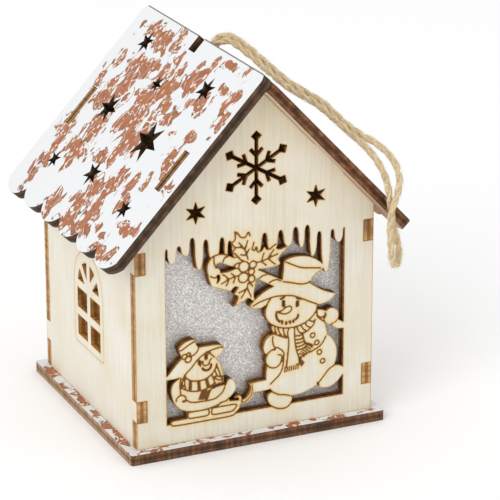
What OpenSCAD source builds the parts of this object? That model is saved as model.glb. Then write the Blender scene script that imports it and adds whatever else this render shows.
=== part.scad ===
// A small lamp in the shape of a winter house, to stand on a shelf or hang by its loop.
// Laser cut plywood panels plug together with tabs. The front wall is a fretwork scene of two
// snowmen, a sled, holly and icicles before a sheet of glitter film. A round battery light is
// pushed up into the hole of the base plate and shines through the cut-outs.
// The origin is the middle of the base plate's underside, and the front faces -Y.

/* [Panels] */
// Thickness of the plywood
ply = 3; // [2.5:0.1:3.5]
// Width of the house over its side walls
house_w = 71.5; // [66:0.5:90]
// Depth of the house over its front and back walls
house_d = 70; // [64:0.5:90]
// Height of the side walls above the base plate
side_h = 61.5; // [55:0.5:80]
// Slope of the roof in degrees
roof_pitch = 46.8; // [43:0.1:49]

/* [Base plate] */
// How far the base plate stands out past the walls
base_margin = 2.9; // [2:0.1:10]
// Radius of the base plate's corners
base_corner_r = 0.8; // [0.5:0.1:4]

/* [Joinery] */
// Height of a side wall's finger in the edge of a gable wall
finger_h = 6.1; // [4:0.1:8]
// Length of the tab that pegs each wall into the base plate
base_tab_w = 18; // [10:0.5:24]
// Length of the tab that pegs each gable slope into the roof
roof_tab_w = 13; // [8:0.5:18]
// Width of the flat that cuts off the top of a gable
apex_flat_w = 3; // [2:0.1:6]

/* [Roof] */
// How far the roof stands out past the gable walls
roof_end_overhang = 6.2; // [3:0.1:12]
// Length along the slope from above the side wall's face to the hollows of the eave
eave_overhang = 11.2; // [8:0.1:18]
// Number of scallops along an eave
scallops = 6; // [4:1:8]
// Depth of a scallop
scallop_depth = 3.7; // [2:0.1:5]
// Radius of the roof's two corners at the ridge
ridge_corner_r = 2.5; // [0.5:0.1:4]
// Width of the notch in the ridge that the hanging loop comes out of
cord_notch_w = 4.2; // [4:0.1:6]
// Depth of that notch
cord_notch_depth = 5; // [4.6:0.1:7]
// How far behind the middle of the ridge the notch lies
cord_notch_back = 1; // [0.8:0.1:1.2]

/* [Front scene] */
// Width of the wood left beside the scene
post_w = 8.55; // [7:0.05:11]
// Height of the wood left under the scene
sill_h = 5.9; // [4.5:0.1:8]
// Height of the wood between the top of the scene and the eaves
lintel_h = 4.6; // [4:0.1:8]
// Radius that the cutting beam leaves in an inner corner
kerf_r = 0.1; // [0.05:0.01:0.2]

/* [Gable] */
// Length of a snowflake's arm from its centre
flake_r = 10.5; // [8:0.1:11]
// Width of the cut along an arm
flake_line_w = 1.05; // [0.6:0.05:1.2]
// Radius of the two stars beside the snowflake
gable_star_r = 3.3; // [2:0.1:4]

/* [Side windows] */
// Height of the window's lower edge above the base plate
window_rise = 19; // [15:0.5:24]
// Width of a window pane
pane_w = 7.2; // [5.5:0.1:8.5]
// Height of a window pane
pane_h = 5.8; // [5:0.1:7]
// Width of the glazing bars
bar_w = 2.6; // [2:0.1:3.2]
// Radius of the fan over the panes
fan_r = 8; // [6.5:0.1:9]

/* [Glitter sheet] */
// Thickness of the sheet behind the scene
sheet_t = 0.5; // [0.3:0.1:1]
// How far the sheet reaches past the scene's opening
sheet_margin = 2.7; // [1:0.1:3.5]

/* [Light unit] */
// Height of the case
case_h = 15.7; // [15:0.1:20]
// Thickness of the case's wall
case_wall = 1.4; // [1:0.1:1.5]
// Radius of the round on the case's upper edge
case_edge_r = 1; // [0.5:0.1:1.4]
// Thickness of the plate that closes the case below
floor_t = 1.5; // [1.2:0.1:1.8]
// Radius of the coin cell
cell_r = 10; // [9.6:0.1:10]
// Thickness of the coin cell
cell_t = 3.2; // [2.5:0.1:3.2]
// Radius of the light emitting diode's lens
led_r = 2.5; // [1.5:0.1:2.5]
// Thickness of the circuit board
board_t = 1; // [0.8:0.1:1.6]
// Travel of the switch knob
switch_travel = 2; // [1.5:0.1:2.4]

/* [Fits] */
// Clearance on each side of a tab in its slot
fit_gap = 0.1; // [0.05:0.01:0.15]
// Film of glue between two faces that are stuck together
glue_gap = 0.05; // [0.02:0.01:0.1]
// Clearance round a piece that moves
run_gap = 0.3; // [0.25:0.05:0.4]

/* [Hanging loop] */
// Diameter of the jute cord
cord_d = 1.8; // [1.6:0.1:1.8]

/* [Hidden] */

$fn = 64;
// One overrun serves all cuts
over = ply / 3;

// House
half_w = house_w / 2;
half_d = house_d / 2;
base_w = house_w + 2 * base_margin;
base_d = house_d + 2 * base_margin;
wall_top = ply + side_h;
gable_h = half_w * tan(roof_pitch);
under_apex_z = wall_top + gable_h;
gable_slope_l = half_w / cos(roof_pitch);
side_wall_d = house_d - 2 * (ply + glue_gap);
// Heights of the side walls' two fingers, as shares of the wall's height
finger_shares = [0.18, 0.877];
// Place of the roof tab's middle, as a share of the gable's slope
roof_tab_share = 0.608;

// Roof, measured down the slope from the ridge line of the upper faces
roof_lift = (glue_gap + ply) / cos(roof_pitch);
ridge_z = under_apex_z + roof_lift;
roof_lap = (glue_gap + ply) * tan(roof_pitch);
roof_l = house_d + 2 * roof_end_overhang;
eave_s = gable_slope_l + eave_overhang;
scallop_w = roof_l / scallops;
scallop_r = (pow(scallop_w / 2, 2) + pow(scallop_depth, 2)) / (2 * scallop_depth);
// The left panel laps over the right one, which starts against its underside
right_start_s = max(ply * tan(roof_pitch), ply / sin(2 * roof_pitch)) + glue_gap;
roof_slot_s = gable_slope_l * roof_tab_share + roof_lap;
// Stars of a roof panel: place along the ridge, place down the slope and radius, as shares
// of the panel's length, its slope and its length, and the turn of a point from the slope
star_shares = [
    [0.318, 0.153, 0.047, 0],
    [0.057, 0.284, 0.036, 30],
    [-0.240, 0.189, 0.052, 0],
    [0.228, 0.489, 0.061, 30],
    [-0.146, 0.513, 0.083, 37],
    [0.309, 0.820, 0.039, 0],
    [0.018, 0.765, 0.052, 0],
    [-0.313, 0.804, 0.041, 0]
];
// Inner radius of a star as a share of its outer radius
star_inner_share = 0.42;

// Gable ornaments, as shares of half the house's width and of the gable's height
flake_rise_share = 0.396;
gable_star_shares = [0.50, 0.123];
// Parts of a snowflake's arm, as shares of its length
diamond_shares = [[0.70, 0], [0.86, 0.15], [1, 0], [0.86, -0.15]];
barb_root_share = 0.33;
barb_end_shares = [0.52, 0.17];

// Side window
window_z = ply + window_rise;
window_rows = 2;
fan_z = window_z + window_rows * (pane_h + bar_w);
fan_centre_z = fan_z - bar_w / 2;

// Front scene: every outline point is a share of the opening's width and height,
// measured from its lower left corner, and a third value of 1 marks a sharp corner
scene_w = house_w - 2 * post_w;
scene_h = side_h - sill_h - lintel_h;
scene_z = ply + sill_h;
scene_top_share = 1.06;
// The opening's left and right edges, as shares of the scene's width
scene_edge_shares = [0.006, 0.993];
// Points that a smooth curve gets between two given ones
steps = 3;

brim_shares = [
    [0.466, 0.606], [0.487, 0.634], [0.520, 0.663], [0.565, 0.689], [0.610, 0.705],
    [0.650, 0.717], [0.720, 0.712], [0.795, 0.690], [0.825, 0.668], [0.865, 0.640],
    [0.905, 0.619], [0.948, 0.604, 1], [0.932, 0.583], [0.905, 0.564], [0.870, 0.556],
    [0.835, 0.557], [0.740, 0.600], [0.640, 0.620], [0.555, 0.600], [0.525, 0.588],
    [0.488, 0.591]
];
crown_shares = [
    [0.650, 0.700], [0.652, 0.780], [0.656, 0.832], [0.675, 0.846], [0.715, 0.853],
    [0.760, 0.850], [0.795, 0.841], [0.830, 0.822], [0.858, 0.800], [0.876, 0.770],
    [0.866, 0.754], [0.845, 0.745], [0.820, 0.725], [0.800, 0.695], [0.770, 0.670],
    [0.700, 0.680]
];
head_shares = [0.697, 0.555, 0.146, 0.109];
chest_shares = [
    [0.835, 0.495], [0.868, 0.470], [0.888, 0.435], [0.896, 0.400], [0.900, 0.370],
    [0.860, 0.330], [0.600, 0.380], [0.610, 0.440], [0.640, 0.470], [0.740, 0.480]
];
belly_shares = [
    [0.903, 0.371], [0.932, 0.340], [0.951, 0.300], [0.957, 0.255], [0.950, 0.205],
    [0.930, 0.160], [0.900, 0.120], [0.860, 0.088], [0.800, 0.062], [0.750, 0.047],
    [0.700, 0.046], [0.640, 0.060], [0.590, 0.093], [0.562, 0.140], [0.555, 0.185],
    [0.562, 0.240], [0.600, 0.330], [0.700, 0.400], [0.820, 0.430]
];
scarf_shares = [
    [0.588, 0.470], [0.590, 0.448], [0.602, 0.426], [0.630, 0.410], [0.700, 0.400],
    [0.780, 0.410], [0.825, 0.440], [0.838, 0.495], [0.740, 0.500], [0.640, 0.490]
];
left_arm_shares = [
    [0.600, 0.425], [0.575, 0.418], [0.553, 0.397], [0.543, 0.368], [0.542, 0.340],
    [0.555, 0.315], [0.620, 0.300], [0.670, 0.330], [0.670, 0.400], [0.640, 0.430]
];
right_arm_shares = [
    [0.815, 0.550], [0.850, 0.527], [0.872, 0.520], [0.893, 0.508], [0.905, 0.480],
    [0.892, 0.455], [0.865, 0.470], [0.815, 0.470]
];
thumb_shares = [
    [0.930, 0.440], [0.955, 0.452], [0.975, 0.440], [1.010, 0.415], [1.010, 0.397],
    [0.982, 0.392], [0.955, 0.398], [0.930, 0.415]
];
left_foot_shares = [
    [0.565, 0.065], [0.568, 0.035], [0.583, 0.008], [0.610, -0.012], [0.650, -0.022],
    [0.682, -0.014], [0.700, 0.010], [0.702, 0.035], [0.690, 0.048], [0.655, 0.058],
    [0.610, 0.080], [0.583, 0.086]
];
right_foot_shares = [
    [1.005, 0.145], [0.985, 0.170], [0.962, 0.180], [0.938, 0.178], [0.908, 0.152],
    [0.877, 0.118], [0.850, 0.090], [0.862, 0.066], [0.890, 0.057], [0.925, 0.060],
    [0.958, 0.080], [0.984, 0.110]
];
// Round mittens: centre and radii
mitten_shares = [[0.599, 0.278, 0.044, 0.048], [0.923, 0.474, 0.042, 0.049]];

small_brim_shares = [
    [-0.010, 0.262, 1], [-0.010, 0.270, 1], [0.010, 0.284], [0.033, 0.310],
    [0.061, 0.343], [0.088, 0.370], [0.130, 0.400], [0.180, 0.419], [0.240, 0.421],
    [0.290, 0.418], [0.312, 0.411], [0.321, 0.398], [0.318, 0.380], [0.303, 0.360],
    [0.280, 0.345], [0.200, 0.330], [0.130, 0.290], [0.100, 0.272], [0.055, 0.262]
];
small_crown_shares = [
    [0.073, 0.425], [0.085, 0.446], [0.105, 0.461], [0.130, 0.470], [0.155, 0.471],
    [0.168, 0.462], [0.168, 0.445], [0.178, 0.425], [0.190, 0.400], [0.150, 0.370],
    [0.100, 0.365], [0.088, 0.385], [0.080, 0.405]
];
small_head_shares = [0.193, 0.320, 0.089, 0.090];
small_body_shares = [
    [0.031, 0.200], [0.045, 0.238], [0.075, 0.260], [0.105, 0.285], [0.200, 0.310],
    [0.280, 0.335], [0.292, 0.324], [0.303, 0.300], [0.312, 0.265], [0.318, 0.230],
    [0.322, 0.195], [0.325, 0.166, 1], [0.334, 0.183], [0.343, 0.203], [0.358, 0.209],
    [0.374, 0.197], [0.387, 0.172], [0.386, 0.145], [0.372, 0.120], [0.345, 0.096],
    [0.300, 0.075], [0.250, 0.060], [0.190, 0.053], [0.130, 0.056], [0.090, 0.072],
    [0.057, 0.105], [0.038, 0.145]
];
sled_shares = [
    [0.118, -0.030, 1], [0.118, 0.070, 1], [0.300, 0.085], [0.350, 0.090, 1],
    [0.353, 0.078, 1], [0.400, 0.074, 1], [0.402, 0.082], [0.395, 0.090],
    [0.380, 0.087, 1], [0.386, 0.098], [0.400, 0.103], [0.415, 0.096], [0.423, 0.075],
    [0.420, 0.055], [0.410, 0.045], [0.411, 0.033], [0.403, 0.018], [0.388, 0.004],
    [0.370, -0.030, 1]
];
runner_shares = [
    [0.027, -0.030, 1], [0.027, 0.004], [0.036, 0.016], [0.060, 0.018], [0.130, 0.018, 1],
    [0.130, -0.030, 1]
];
rope_shares = [
    [0.412, 0.051, 1], [0.435, 0.050], [0.462, 0.062], [0.480, 0.088], [0.487, 0.104, 1],
    [0.520, 0.102], [0.575, 0.105, 1], [0.575, 0.166, 1], [0.520, 0.163], [0.480, 0.160],
    [0.462, 0.158, 1], [0.470, 0.140], [0.467, 0.113], [0.450, 0.085], [0.430, 0.074],
    [0.412, 0.072, 1]
];

left_leaf_shares = [
    [0.239, 0.822], [0.246, 0.785], [0.254, 0.757, 1], [0.275, 0.748], [0.300, 0.737],
    [0.325, 0.727], [0.345, 0.719], [0.358, 0.711, 1], [0.372, 0.728], [0.388, 0.736],
    [0.403, 0.729], [0.430, 0.760], [0.430, 0.820], [0.392, 0.836], [0.350, 0.826],
    [0.304, 0.825, 1], [0.300, 0.845], [0.284, 0.858], [0.262, 0.840]
];
lower_leaf_shares = [
    [0.403, 0.729], [0.392, 0.712], [0.378, 0.692, 1], [0.400, 0.677], [0.398, 0.655],
    [0.388, 0.637], [0.374, 0.620, 1], [0.395, 0.628], [0.420, 0.641], [0.437, 0.647],
    [0.449, 0.657], [0.465, 0.654], [0.476, 0.642, 1], [0.494, 0.630, 1], [0.487, 0.665],
    [0.488, 0.690], [0.493, 0.715], [0.497, 0.750], [0.485, 0.800], [0.430, 0.800]
];
upper_leaf_shares = [
    [0.368, 1.040, 1], [0.368, 0.935], [0.385, 0.900], [0.430, 0.850], [0.500, 0.850],
    [0.512, 0.912], [0.521, 0.950], [0.531, 0.995], [0.531, 1.040, 1]
];
right_leaf_shares = [
    [0.440, 0.830], [0.490, 0.900], [0.510, 0.912], [0.530, 0.914], [0.547, 0.934],
    [0.556, 0.918], [0.575, 0.920], [0.606, 0.945, 1], [0.614, 0.915], [0.640, 0.909],
    [0.690, 0.932, 1], [0.664, 0.902], [0.645, 0.886], [0.628, 0.866], [0.622, 0.852],
    [0.630, 0.838], [0.633, 0.822, 1], [0.605, 0.815], [0.560, 0.812], [0.505, 0.815]
];
// Cuts inside the holly: a slit by the cane's end and one beside the upper leaf
leaf_slit_shares = [
    [0.284, 0.814], [0.296, 0.817], [0.303, 0.800], [0.296, 0.780], [0.281, 0.766, 1],
    [0.287, 0.790]
];
stem_slit_shares = [
    [0.462, 1.008], [0.472, 1.013], [0.481, 0.998], [0.489, 0.966], [0.478, 0.962],
    [0.470, 0.980]
];
// Middle line of the striped cane, and its width as a share of the opening's width
cane_shares = [
    [0.268, 0.815], [0.256, 0.845], [0.258, 0.880], [0.278, 0.903], [0.308, 0.907],
    [0.345, 0.890], [0.400, 0.862], [0.480, 0.803], [0.550, 0.759], [0.600, 0.729],
    [0.650, 0.700]
];
cane_w_share = 0.046;
// Icicles, left to right: the round top of each gap and its half width, then the tip of the
// icicle after it
gap_shares = [
    [0.013, 1.005, 0.005], [0.080, 1.012, 0.013], [0.152, 1.048, 0.013],
    [0.225, 1.027, 0.012], [0.313, 1.025, 0.012], [0.355, 1.000, 0.010],
    [0.546, 1.015, 0.014], [0.635, 1.017, 0.014], [0.718, 1.022, 0.015],
    [0.783, 1.023, 0.013], [0.850, 0.977, 0.011], [0.925, 0.977, 0.009],
    [0.990, 0.977, 0.005]
];
tip_shares = [
    [0.040, 0.915], [0.125, 0.950], [0.188, 0.858], [0.270, 0.900], [0.335, 0.900],
    [0.430, 0.860], [0.590, 0.900], [0.680, 0.918], [0.752, 0.898], [0.812, 0.838],
    [0.892, 0.733], [0.962, 0.897]
];
// How far below a gap's top its sides begin, in half widths of the gap
gap_round_share = 2.2;
// Bulge of an icicle's side: shares of the way down to its tip and across to it
bulge_shares = [[0.45, 0.08], [0.86, 0.45]];

// Light unit
case_z = run_gap;
case_top = case_z + case_h;
floor_top = case_z + floor_t;
lead_w = 0.5;
sheet_metal_t = 0.3;
// Battery well, open below and closed by the cover
well_r = cell_r + run_gap;
well_wall = 1.1;
cover_rim_t = floor_t / 2;
cover_lap = 0.9;
recess_r = well_r + cover_lap + run_gap;
// Floor left between the cover's recess and the case's wall
cover_margin = 0.5;
// Slide switch, and the room before it where the board is soldered
switch_w = 8.6;
switch_d = 3.7;
switch_h = 3.6;
switch_wall = 0.35;
solder_room = 5.7;
// The floor is as wide as the recess, the switch and that room need one behind the other
switch_back = well_r + well_wall + run_gap;
floor_r = (cover_margin + recess_r + switch_back + switch_d + solder_room) / 2;
case_in_r = floor_r + glue_gap;
case_r = case_in_r + case_wall;
hole_r = case_r + run_gap;
well_y = floor_r - cover_margin - recess_r;
switch_y = well_y - switch_back - switch_d / 2;
cell_z = floor_top + run_gap;
// Raised middle of the cell's upper side, as a share of its radius
cell_step_share = 0.9;
well_roof_z = cell_z + cell_t + 2 * sheet_metal_t;
well_roof_t = 1;
well_top = well_roof_z + well_roof_t;
// Screw of the cover
screw_r = 0.8;
screw_head_r = 1.5;
screw_head_t = 0.7;
screw_l = 4;
screw_boss_r = 1.8;
screw_ear_r = 2.2;
// The screw stands beside the well, turned this far round the well's middle from -X
screw_turn = 45;
screw_x = -(well_r + well_wall + screw_boss_r);
// Circuit board and its two posts
post_r = 1.2;
post_x = 7;
post_h = 1.6;
board_z = well_top + post_h;
board_w = 2 * cell_r;
board_back = 5;
board_rim = 1.15;
board_front = switch_d / 2 - switch_y + board_rim;
board_top = board_z + board_t;
led_flange_r = led_r + 0.4;
led_flange_t = 1;
led_top = case_top + led_r;
lead_pitch = 2.54;
lead_stub = 1.2;
solder_hole_r = 0.5;
// Switch knob, which reaches down through the floor
knob_w = 1.6;
knob_d = 1.6;
knob_tip_z = case_z + 0.4;
shoe_w = 3.2;
shoe_t = 1.2;
pin_pitch = 2.5;
contact_w = 3;
dimple_r = 1.1;

// Hanging loop: both strands leave the ridge together and lie out over the right slope,
// the loop's end hangs beside the front corner of the eave
cord_sides = 8;
cord_points = [
    [1.2, 0, 97.9], [1.2, 0, 99.4], [2.3, 0, 101.8], [3.3, 0, 104.2], [4.5, -1.6, 105.8],
    [6.5, -3.8, 106.2], [8.7, -6, 104.5], [11.6, -9, 101.7], [17.9, -16, 95.2],
    [24.2, -22, 90.9], [31, -29, 83.8], [34.6, -34, 79.5], [36.2, -38, 75.6],
    [36.7, -41, 71.6], [36.8, -42.4, 68], [37.2, -42.6, 64], [38, -42.6, 60],
    [39.2, -42.6, 55.6], [39.6, -43, 52.4], [38.9, -44, 50], [37.4, -45.2, 49.4],
    [36.1, -46, 50.8], [35.5, -46.4, 54], [35.2, -46.2, 58], [35.4, -45.6, 62],
    [36.4, -45, 66], [38.3, -44.2, 69.8], [39.8, -42, 73.6], [39.8, -38.3, 77.3],
    [37.5, -34, 80.7], [32.5, -27.7, 84.3], [25.7, -20.7, 91.4], [19.4, -14.7, 95.7],
    [13.1, -7.7, 102.2], [10, -4.5, 105.2], [7.3, -1.8, 107.1], [4.9, 0.7, 106.5],
    [3.6, 2.1, 104.4], [2.4, 2, 101.9], [1.2, 2, 99.4], [1.2, 2, 97.9]
];
knot_r = 2.6;
knot_h = 4.4;
knot_round = 0.6;
knot_z = cord_points[0][2] - knot_h;

function lerp(a, b, t) = a + (b - a) * t;
function flat(p) = [p[0], p[1]];
function is_corner(p) = len(p) > 2;
function heading(v) = v / norm(v);

// Point of a smooth curve between b and c, with a before and d after them
function curve_point(a, b, c, d, t) =
    let (
        run = flat(c) - flat(b),
        from = is_corner(b) ? run : heading(flat(c) - flat(a)) * norm(run),
        to = is_corner(c) ? run : heading(flat(d) - flat(b)) * norm(run)
    )
    (2 * pow(t, 3) - 3 * pow(t, 2) + 1) * flat(b) + (pow(t, 3) - 2 * pow(t, 2) + t) * from
    + (3 * pow(t, 2) - 2 * pow(t, 3)) * flat(c) + (pow(t, 3) - pow(t, 2)) * to;

// Closed smooth curve through a ring of points
function ring_curve(p) =
    let (n = len(p))
    [
        for (i = [0:n - 1])
            let (b = p[i], c = p[(i + 1) % n], pieces = is_corner(b) && is_corner(c) ? 1 : steps)
            for (j = [0:pieces - 1])
                curve_point(p[(i + n - 1) % n], b, c, p[(i + 2) % n], j / pieces)
    ];

// Open smooth curve through a row of points
function row_curve(p) =
    let (n = len(p))
    concat(
        [
            for (i = [0:n - 2])
                for (j = [0:steps - 1])
                    curve_point(p[max(i - 1, 0)], p[i], p[i + 1], p[min(i + 2, n - 1)], j / steps)
        ],
        [flat(p[n - 1])]
    );

// Place in the front wall of a point given in shares
function scene_place(p) = [(p[0] - 1 / 2) * scene_w, scene_z + p[1] * scene_h];
function scene_ring(shares) = [for (p = ring_curve(shares)) scene_place(p)];

// Outline of a band of one width along a row of points
function band(row, width) =
    let (
        n = len(row),
        side = [
            for (i = [0:n - 1])
                let (v = heading(row[min(i + 1, n - 1)] - row[max(i - 1, 0)]))
                [-v[1], v[0]] * width / 2
        ]
    )
    concat([for (i = [0:n - 1]) row[i] + side[i]], [for (i = [n - 1:-1:0]) row[i] - side[i]]);

// Points on the side of an icicle, from a gap's edge to the icicle's tip
function bulge(edge, tip, order) = [
    for (i = order)
        let (b = bulge_shares[i])
        [lerp(edge[0], tip[0], b[1]), lerp(edge[1], tip[1], b[0])]
];

// Lower edge of the icicles: three points round each gap's top, a side, the tip, a side
function icicle_edge() = [
    for (i = [0:len(gap_shares) - 1])
        let (
            g = gap_shares[i],
            drop = g[2] * gap_round_share,
            left = [g[0] - g[2], g[1] - drop],
            right = [g[0] + g[2], g[1] - drop]
        )
        for (p = concat(
            i > 0 ? bulge(left, tip_shares[i - 1], [1, 0]) : [],
            [left, [g[0], g[1]], right],
            i < len(tip_shares) ? concat(bulge(right, tip_shares[i], [0, 1]), [tip_shares[i]]) : []
        )) p
];

module scene_shape(shares) {
    polygon(scene_ring(shares));
}

module scene_oval(shares) {
    translate(scene_place(shares))
        scale([shares[2] * scene_w, shares[3] * scene_h])
            circle(r = 1, $fn = 40);
}

// Star with six points, the first of them along +X
module star(r) {
    polygon([
        for (i = [0:11])
            (i % 2 == 0 ? r : r * star_inner_share) * [cos(30 * i), sin(30 * i)]
    ]);
}

// Rectangle with round corners, centred
module round_rect(w, d, r) {
    square([w - 2 * r, d], center = true);
    square([w, d - 2 * r], center = true);
    for (x = [-1, 1], y = [-1, 1])
        translate([x * (w / 2 - r), y * (d / 2 - r)])
            circle(r);
}

module snowman() {
    for (shares = [brim_shares, crown_shares, chest_shares, belly_shares, scarf_shares])
        scene_shape(shares);
    for (shares = [left_arm_shares, right_arm_shares, thumb_shares])
        scene_shape(shares);
    for (shares = [left_foot_shares, right_foot_shares])
        scene_shape(shares);
    scene_oval(head_shares);
    for (shares = mitten_shares)
        scene_oval(shares);
}

module sledding_snowman() {
    for (shares = [small_brim_shares, small_crown_shares, small_body_shares])
        scene_shape(shares);
    scene_oval(small_head_shares);
    for (shares = [sled_shares, runner_shares, rope_shares])
        scene_shape(shares);
}

module holly_and_cane() {
    difference() {
        union() {
            for (shares = [left_leaf_shares, lower_leaf_shares, upper_leaf_shares])
                scene_shape(shares);
            scene_shape(right_leaf_shares);
            polygon(band([for (p = row_curve(cane_shares)) scene_place(p)], cane_w_share * scene_w));
        }
        scene_shape(leaf_slit_shares);
    }
}

module icicles() {
    polygon(scene_ring(concat(
        [[0, scene_top_share, 1], [0, tip_shares[0][1], 1]],
        icicle_edge(),
        [[1, tip_shares[0][1], 1], [1, scene_top_share, 1]]
    )));
}

module scene_figures() {
    snowman();
    sledding_snowman();
    holly_and_cane();
    difference() {
        icicles();
        scene_shape(stem_slit_shares);
    }
}

// The part of the front wall that the scene's background is cut from
module scene_window() {
    low = scene_place([scene_edge_shares[0], 0]);
    translate(low)
        square(scene_place([scene_edge_shares[1], scene_top_share]) - low);
}

// What is drawn on the right half, also mirrored on the left
module both_sides() {
    children();
    mirror([1, 0])
        children();
}

module snowflake() {
    for (turn = [0:60:300])
        rotate(turn) {
            translate([0, -flake_line_w / 2])
                square([flake_r * diamond_shares[1][0], flake_line_w]);
            polygon([for (p = diamond_shares) flake_r * p]);
            for (side = [-1, 1])
                polygon(band(
                    [
                        [flake_r * barb_root_share, 0],
                        flake_r * [barb_end_shares[0], side * barb_end_shares[1]]
                    ],
                    flake_line_w
                ));
        }
}

// Gable wall in its own plane: X along the house's width, Y up
module gable_outline() {
    difference() {
        union() {
            polygon([
                [-half_w, ply],
                [half_w, ply],
                [half_w, wall_top],
                [apex_flat_w / 2, under_apex_z - apex_flat_w / 2 * tan(roof_pitch)],
                [-apex_flat_w / 2, under_apex_z - apex_flat_w / 2 * tan(roof_pitch)],
                [-half_w, wall_top]
            ]);
            both_sides()
                translate([0, under_apex_z])
                    rotate(-roof_pitch)
                        translate([gable_slope_l * roof_tab_share - roof_tab_w / 2, -over])
                            square([roof_tab_w, over + glue_gap + ply]);
            translate([-base_tab_w / 2, 0])
                square([base_tab_w, ply + over]);
        }
        both_sides()
            for (share = finger_shares)
                translate([
                    half_w - ply - fit_gap,
                    ply + side_h * share - finger_h / 2 - fit_gap
                ])
                    square([ply + fit_gap + over, finger_h + 2 * fit_gap]);
    }
}

// A flat outline as the cutting beam leaves it, with the inner corners a little round
module beam_cut() {
    offset(r = -kerf_r, $fn = 8)
        offset(delta = kerf_r)
            children();
}

module front_wall() {
    color("wheat")
        translate([0, ply - half_d, 0])
            rotate([90, 0, 0])
                linear_extrude(ply)
                    beam_cut()
                        difference() {
                            gable_outline();
                            difference() {
                                scene_window();
                                scene_figures();
                            }
                            translate([0, wall_top + gable_h * flake_rise_share])
                                rotate(90)
                                    snowflake();
                            both_sides()
                                translate([
                                    half_w * gable_star_shares[0],
                                    wall_top + gable_h * gable_star_shares[1]
                                ])
                                    rotate(90)
                                        star(gable_star_r);
                        }
}

module back_wall() {
    color("wheat")
        translate([0, half_d, 0])
            rotate([90, 0, 0])
                linear_extrude(ply)
                    beam_cut()
                        gable_outline();
}

// Side wall in its own plane: X along the house's depth, Y up
module side_outline() {
    difference() {
        union() {
            translate([-side_wall_d / 2, ply])
                square([side_wall_d, side_h]);
            for (share = finger_shares)
                translate([-half_d, ply + side_h * share - finger_h / 2])
                    square([house_d, finger_h]);
            translate([-base_tab_w / 2, 0])
                square([base_tab_w, ply + over]);
        }
        for (side = [-1, 1], row = [0:window_rows - 1])
            translate([
                side * (bar_w + pane_w) / 2 - pane_w / 2,
                window_z + row * (pane_h + bar_w)
            ])
                square([pane_w, pane_h]);
        translate([0, fan_centre_z])
            difference() {
                circle(fan_r);
                translate([-fan_r - over, -fan_r - over])
                    square([2 * (fan_r + over), fan_r + over + fan_z - fan_centre_z]);
                for (turn = [45, 90, 135])
                    rotate(turn)
                        translate([0, -bar_w / 2])
                            square([fan_r + over, bar_w]);
            }
    }
}

module right_wall() {
    color("wheat")
        translate([half_w - ply, 0, 0])
            rotate([90, 0, 90])
                linear_extrude(ply)
                    side_outline();
}

module left_wall() {
    mirror([1, 0, 0])
        right_wall();
}

module base_plate() {
    color("peru")
        linear_extrude(ply)
            difference() {
                round_rect(base_w, base_d, base_corner_r);
                circle(hole_r);
                for (side = [-1, 1]) {
                    translate([0, side * (half_d - ply / 2)])
                        square([base_tab_w + 2 * fit_gap, ply + 2 * fit_gap], center = true);
                    translate([side * (half_w - ply / 2), 0])
                        square([ply + 2 * fit_gap, base_tab_w + 2 * fit_gap], center = true);
                }
            }
}

// Roof panel in its own plane: X down the slope from the ridge, Y along the house's depth
module roof_outline(start_s) {
    difference() {
        union() {
            translate([start_s + ridge_corner_r, -roof_l / 2])
                square([eave_s - start_s - ridge_corner_r, roof_l]);
            translate([start_s, ridge_corner_r - roof_l / 2])
                square([2 * ridge_corner_r, roof_l - 2 * ridge_corner_r]);
            for (side = [-1, 1])
                translate([start_s + ridge_corner_r, side * (roof_l / 2 - ridge_corner_r)])
                    circle(ridge_corner_r);
            intersection() {
                for (i = [0:scallops - 1])
                    translate([
                        eave_s + scallop_depth - scallop_r,
                        (i + 1 / 2) * scallop_w - roof_l / 2
                    ])
                        circle(scallop_r);
                translate([eave_s - over, -roof_l / 2])
                    square([scallop_depth + 2 * over, roof_l]);
            }
        }
        translate([start_s - over, cord_notch_back - cord_notch_w / 2])
            square([cord_notch_depth + over, cord_notch_w]);
        for (side = [-1, 1])
            translate([roof_slot_s, side * (half_d - ply / 2)])
                square([roof_tab_w + 2 * fit_gap, ply + 2 * fit_gap], center = true);
        for (s = star_shares)
            translate([s[1] * eave_s, s[0] * roof_l])
                rotate(s[3])
                    star(s[2] * roof_l);
    }
}

module roof_panel(start_s) {
    translate([0, 0, ridge_z])
        rotate([0, roof_pitch, 0])
            translate([0, 0, -ply])
                linear_extrude(ply)
                    roof_outline(start_s);
}

module roof_right() {
    color("sienna")
        roof_panel(right_start_s);
}

module roof_left() {
    color("sienna")
        mirror([1, 0, 0])
            roof_panel(0);
}

module glitter_sheet() {
    color("silver")
        translate([
            -scene_w / 2 - sheet_margin,
            ply + fit_gap - half_d,
            scene_z - sheet_margin
        ])
            cube([scene_w + 2 * sheet_margin, sheet_t, scene_h * scene_top_share + 2 * sheet_margin]);
}

// Ring of points round the cord, square to its course, turned as little as may be
function turn_to(v, t) = v - t * (v * t);
function cord_heading(i) =
    heading(cord_points[min(i + 1, len(cord_points) - 1)] - cord_points[max(i - 1, 0)]);
function cord_sides_from(i, v) =
    i == len(cord_points)
        ? []
        : let (t = cord_heading(i), u = heading(turn_to(v, t)))
            concat([[u, cross(t, u)]], cord_sides_from(i + 1, u));

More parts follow.
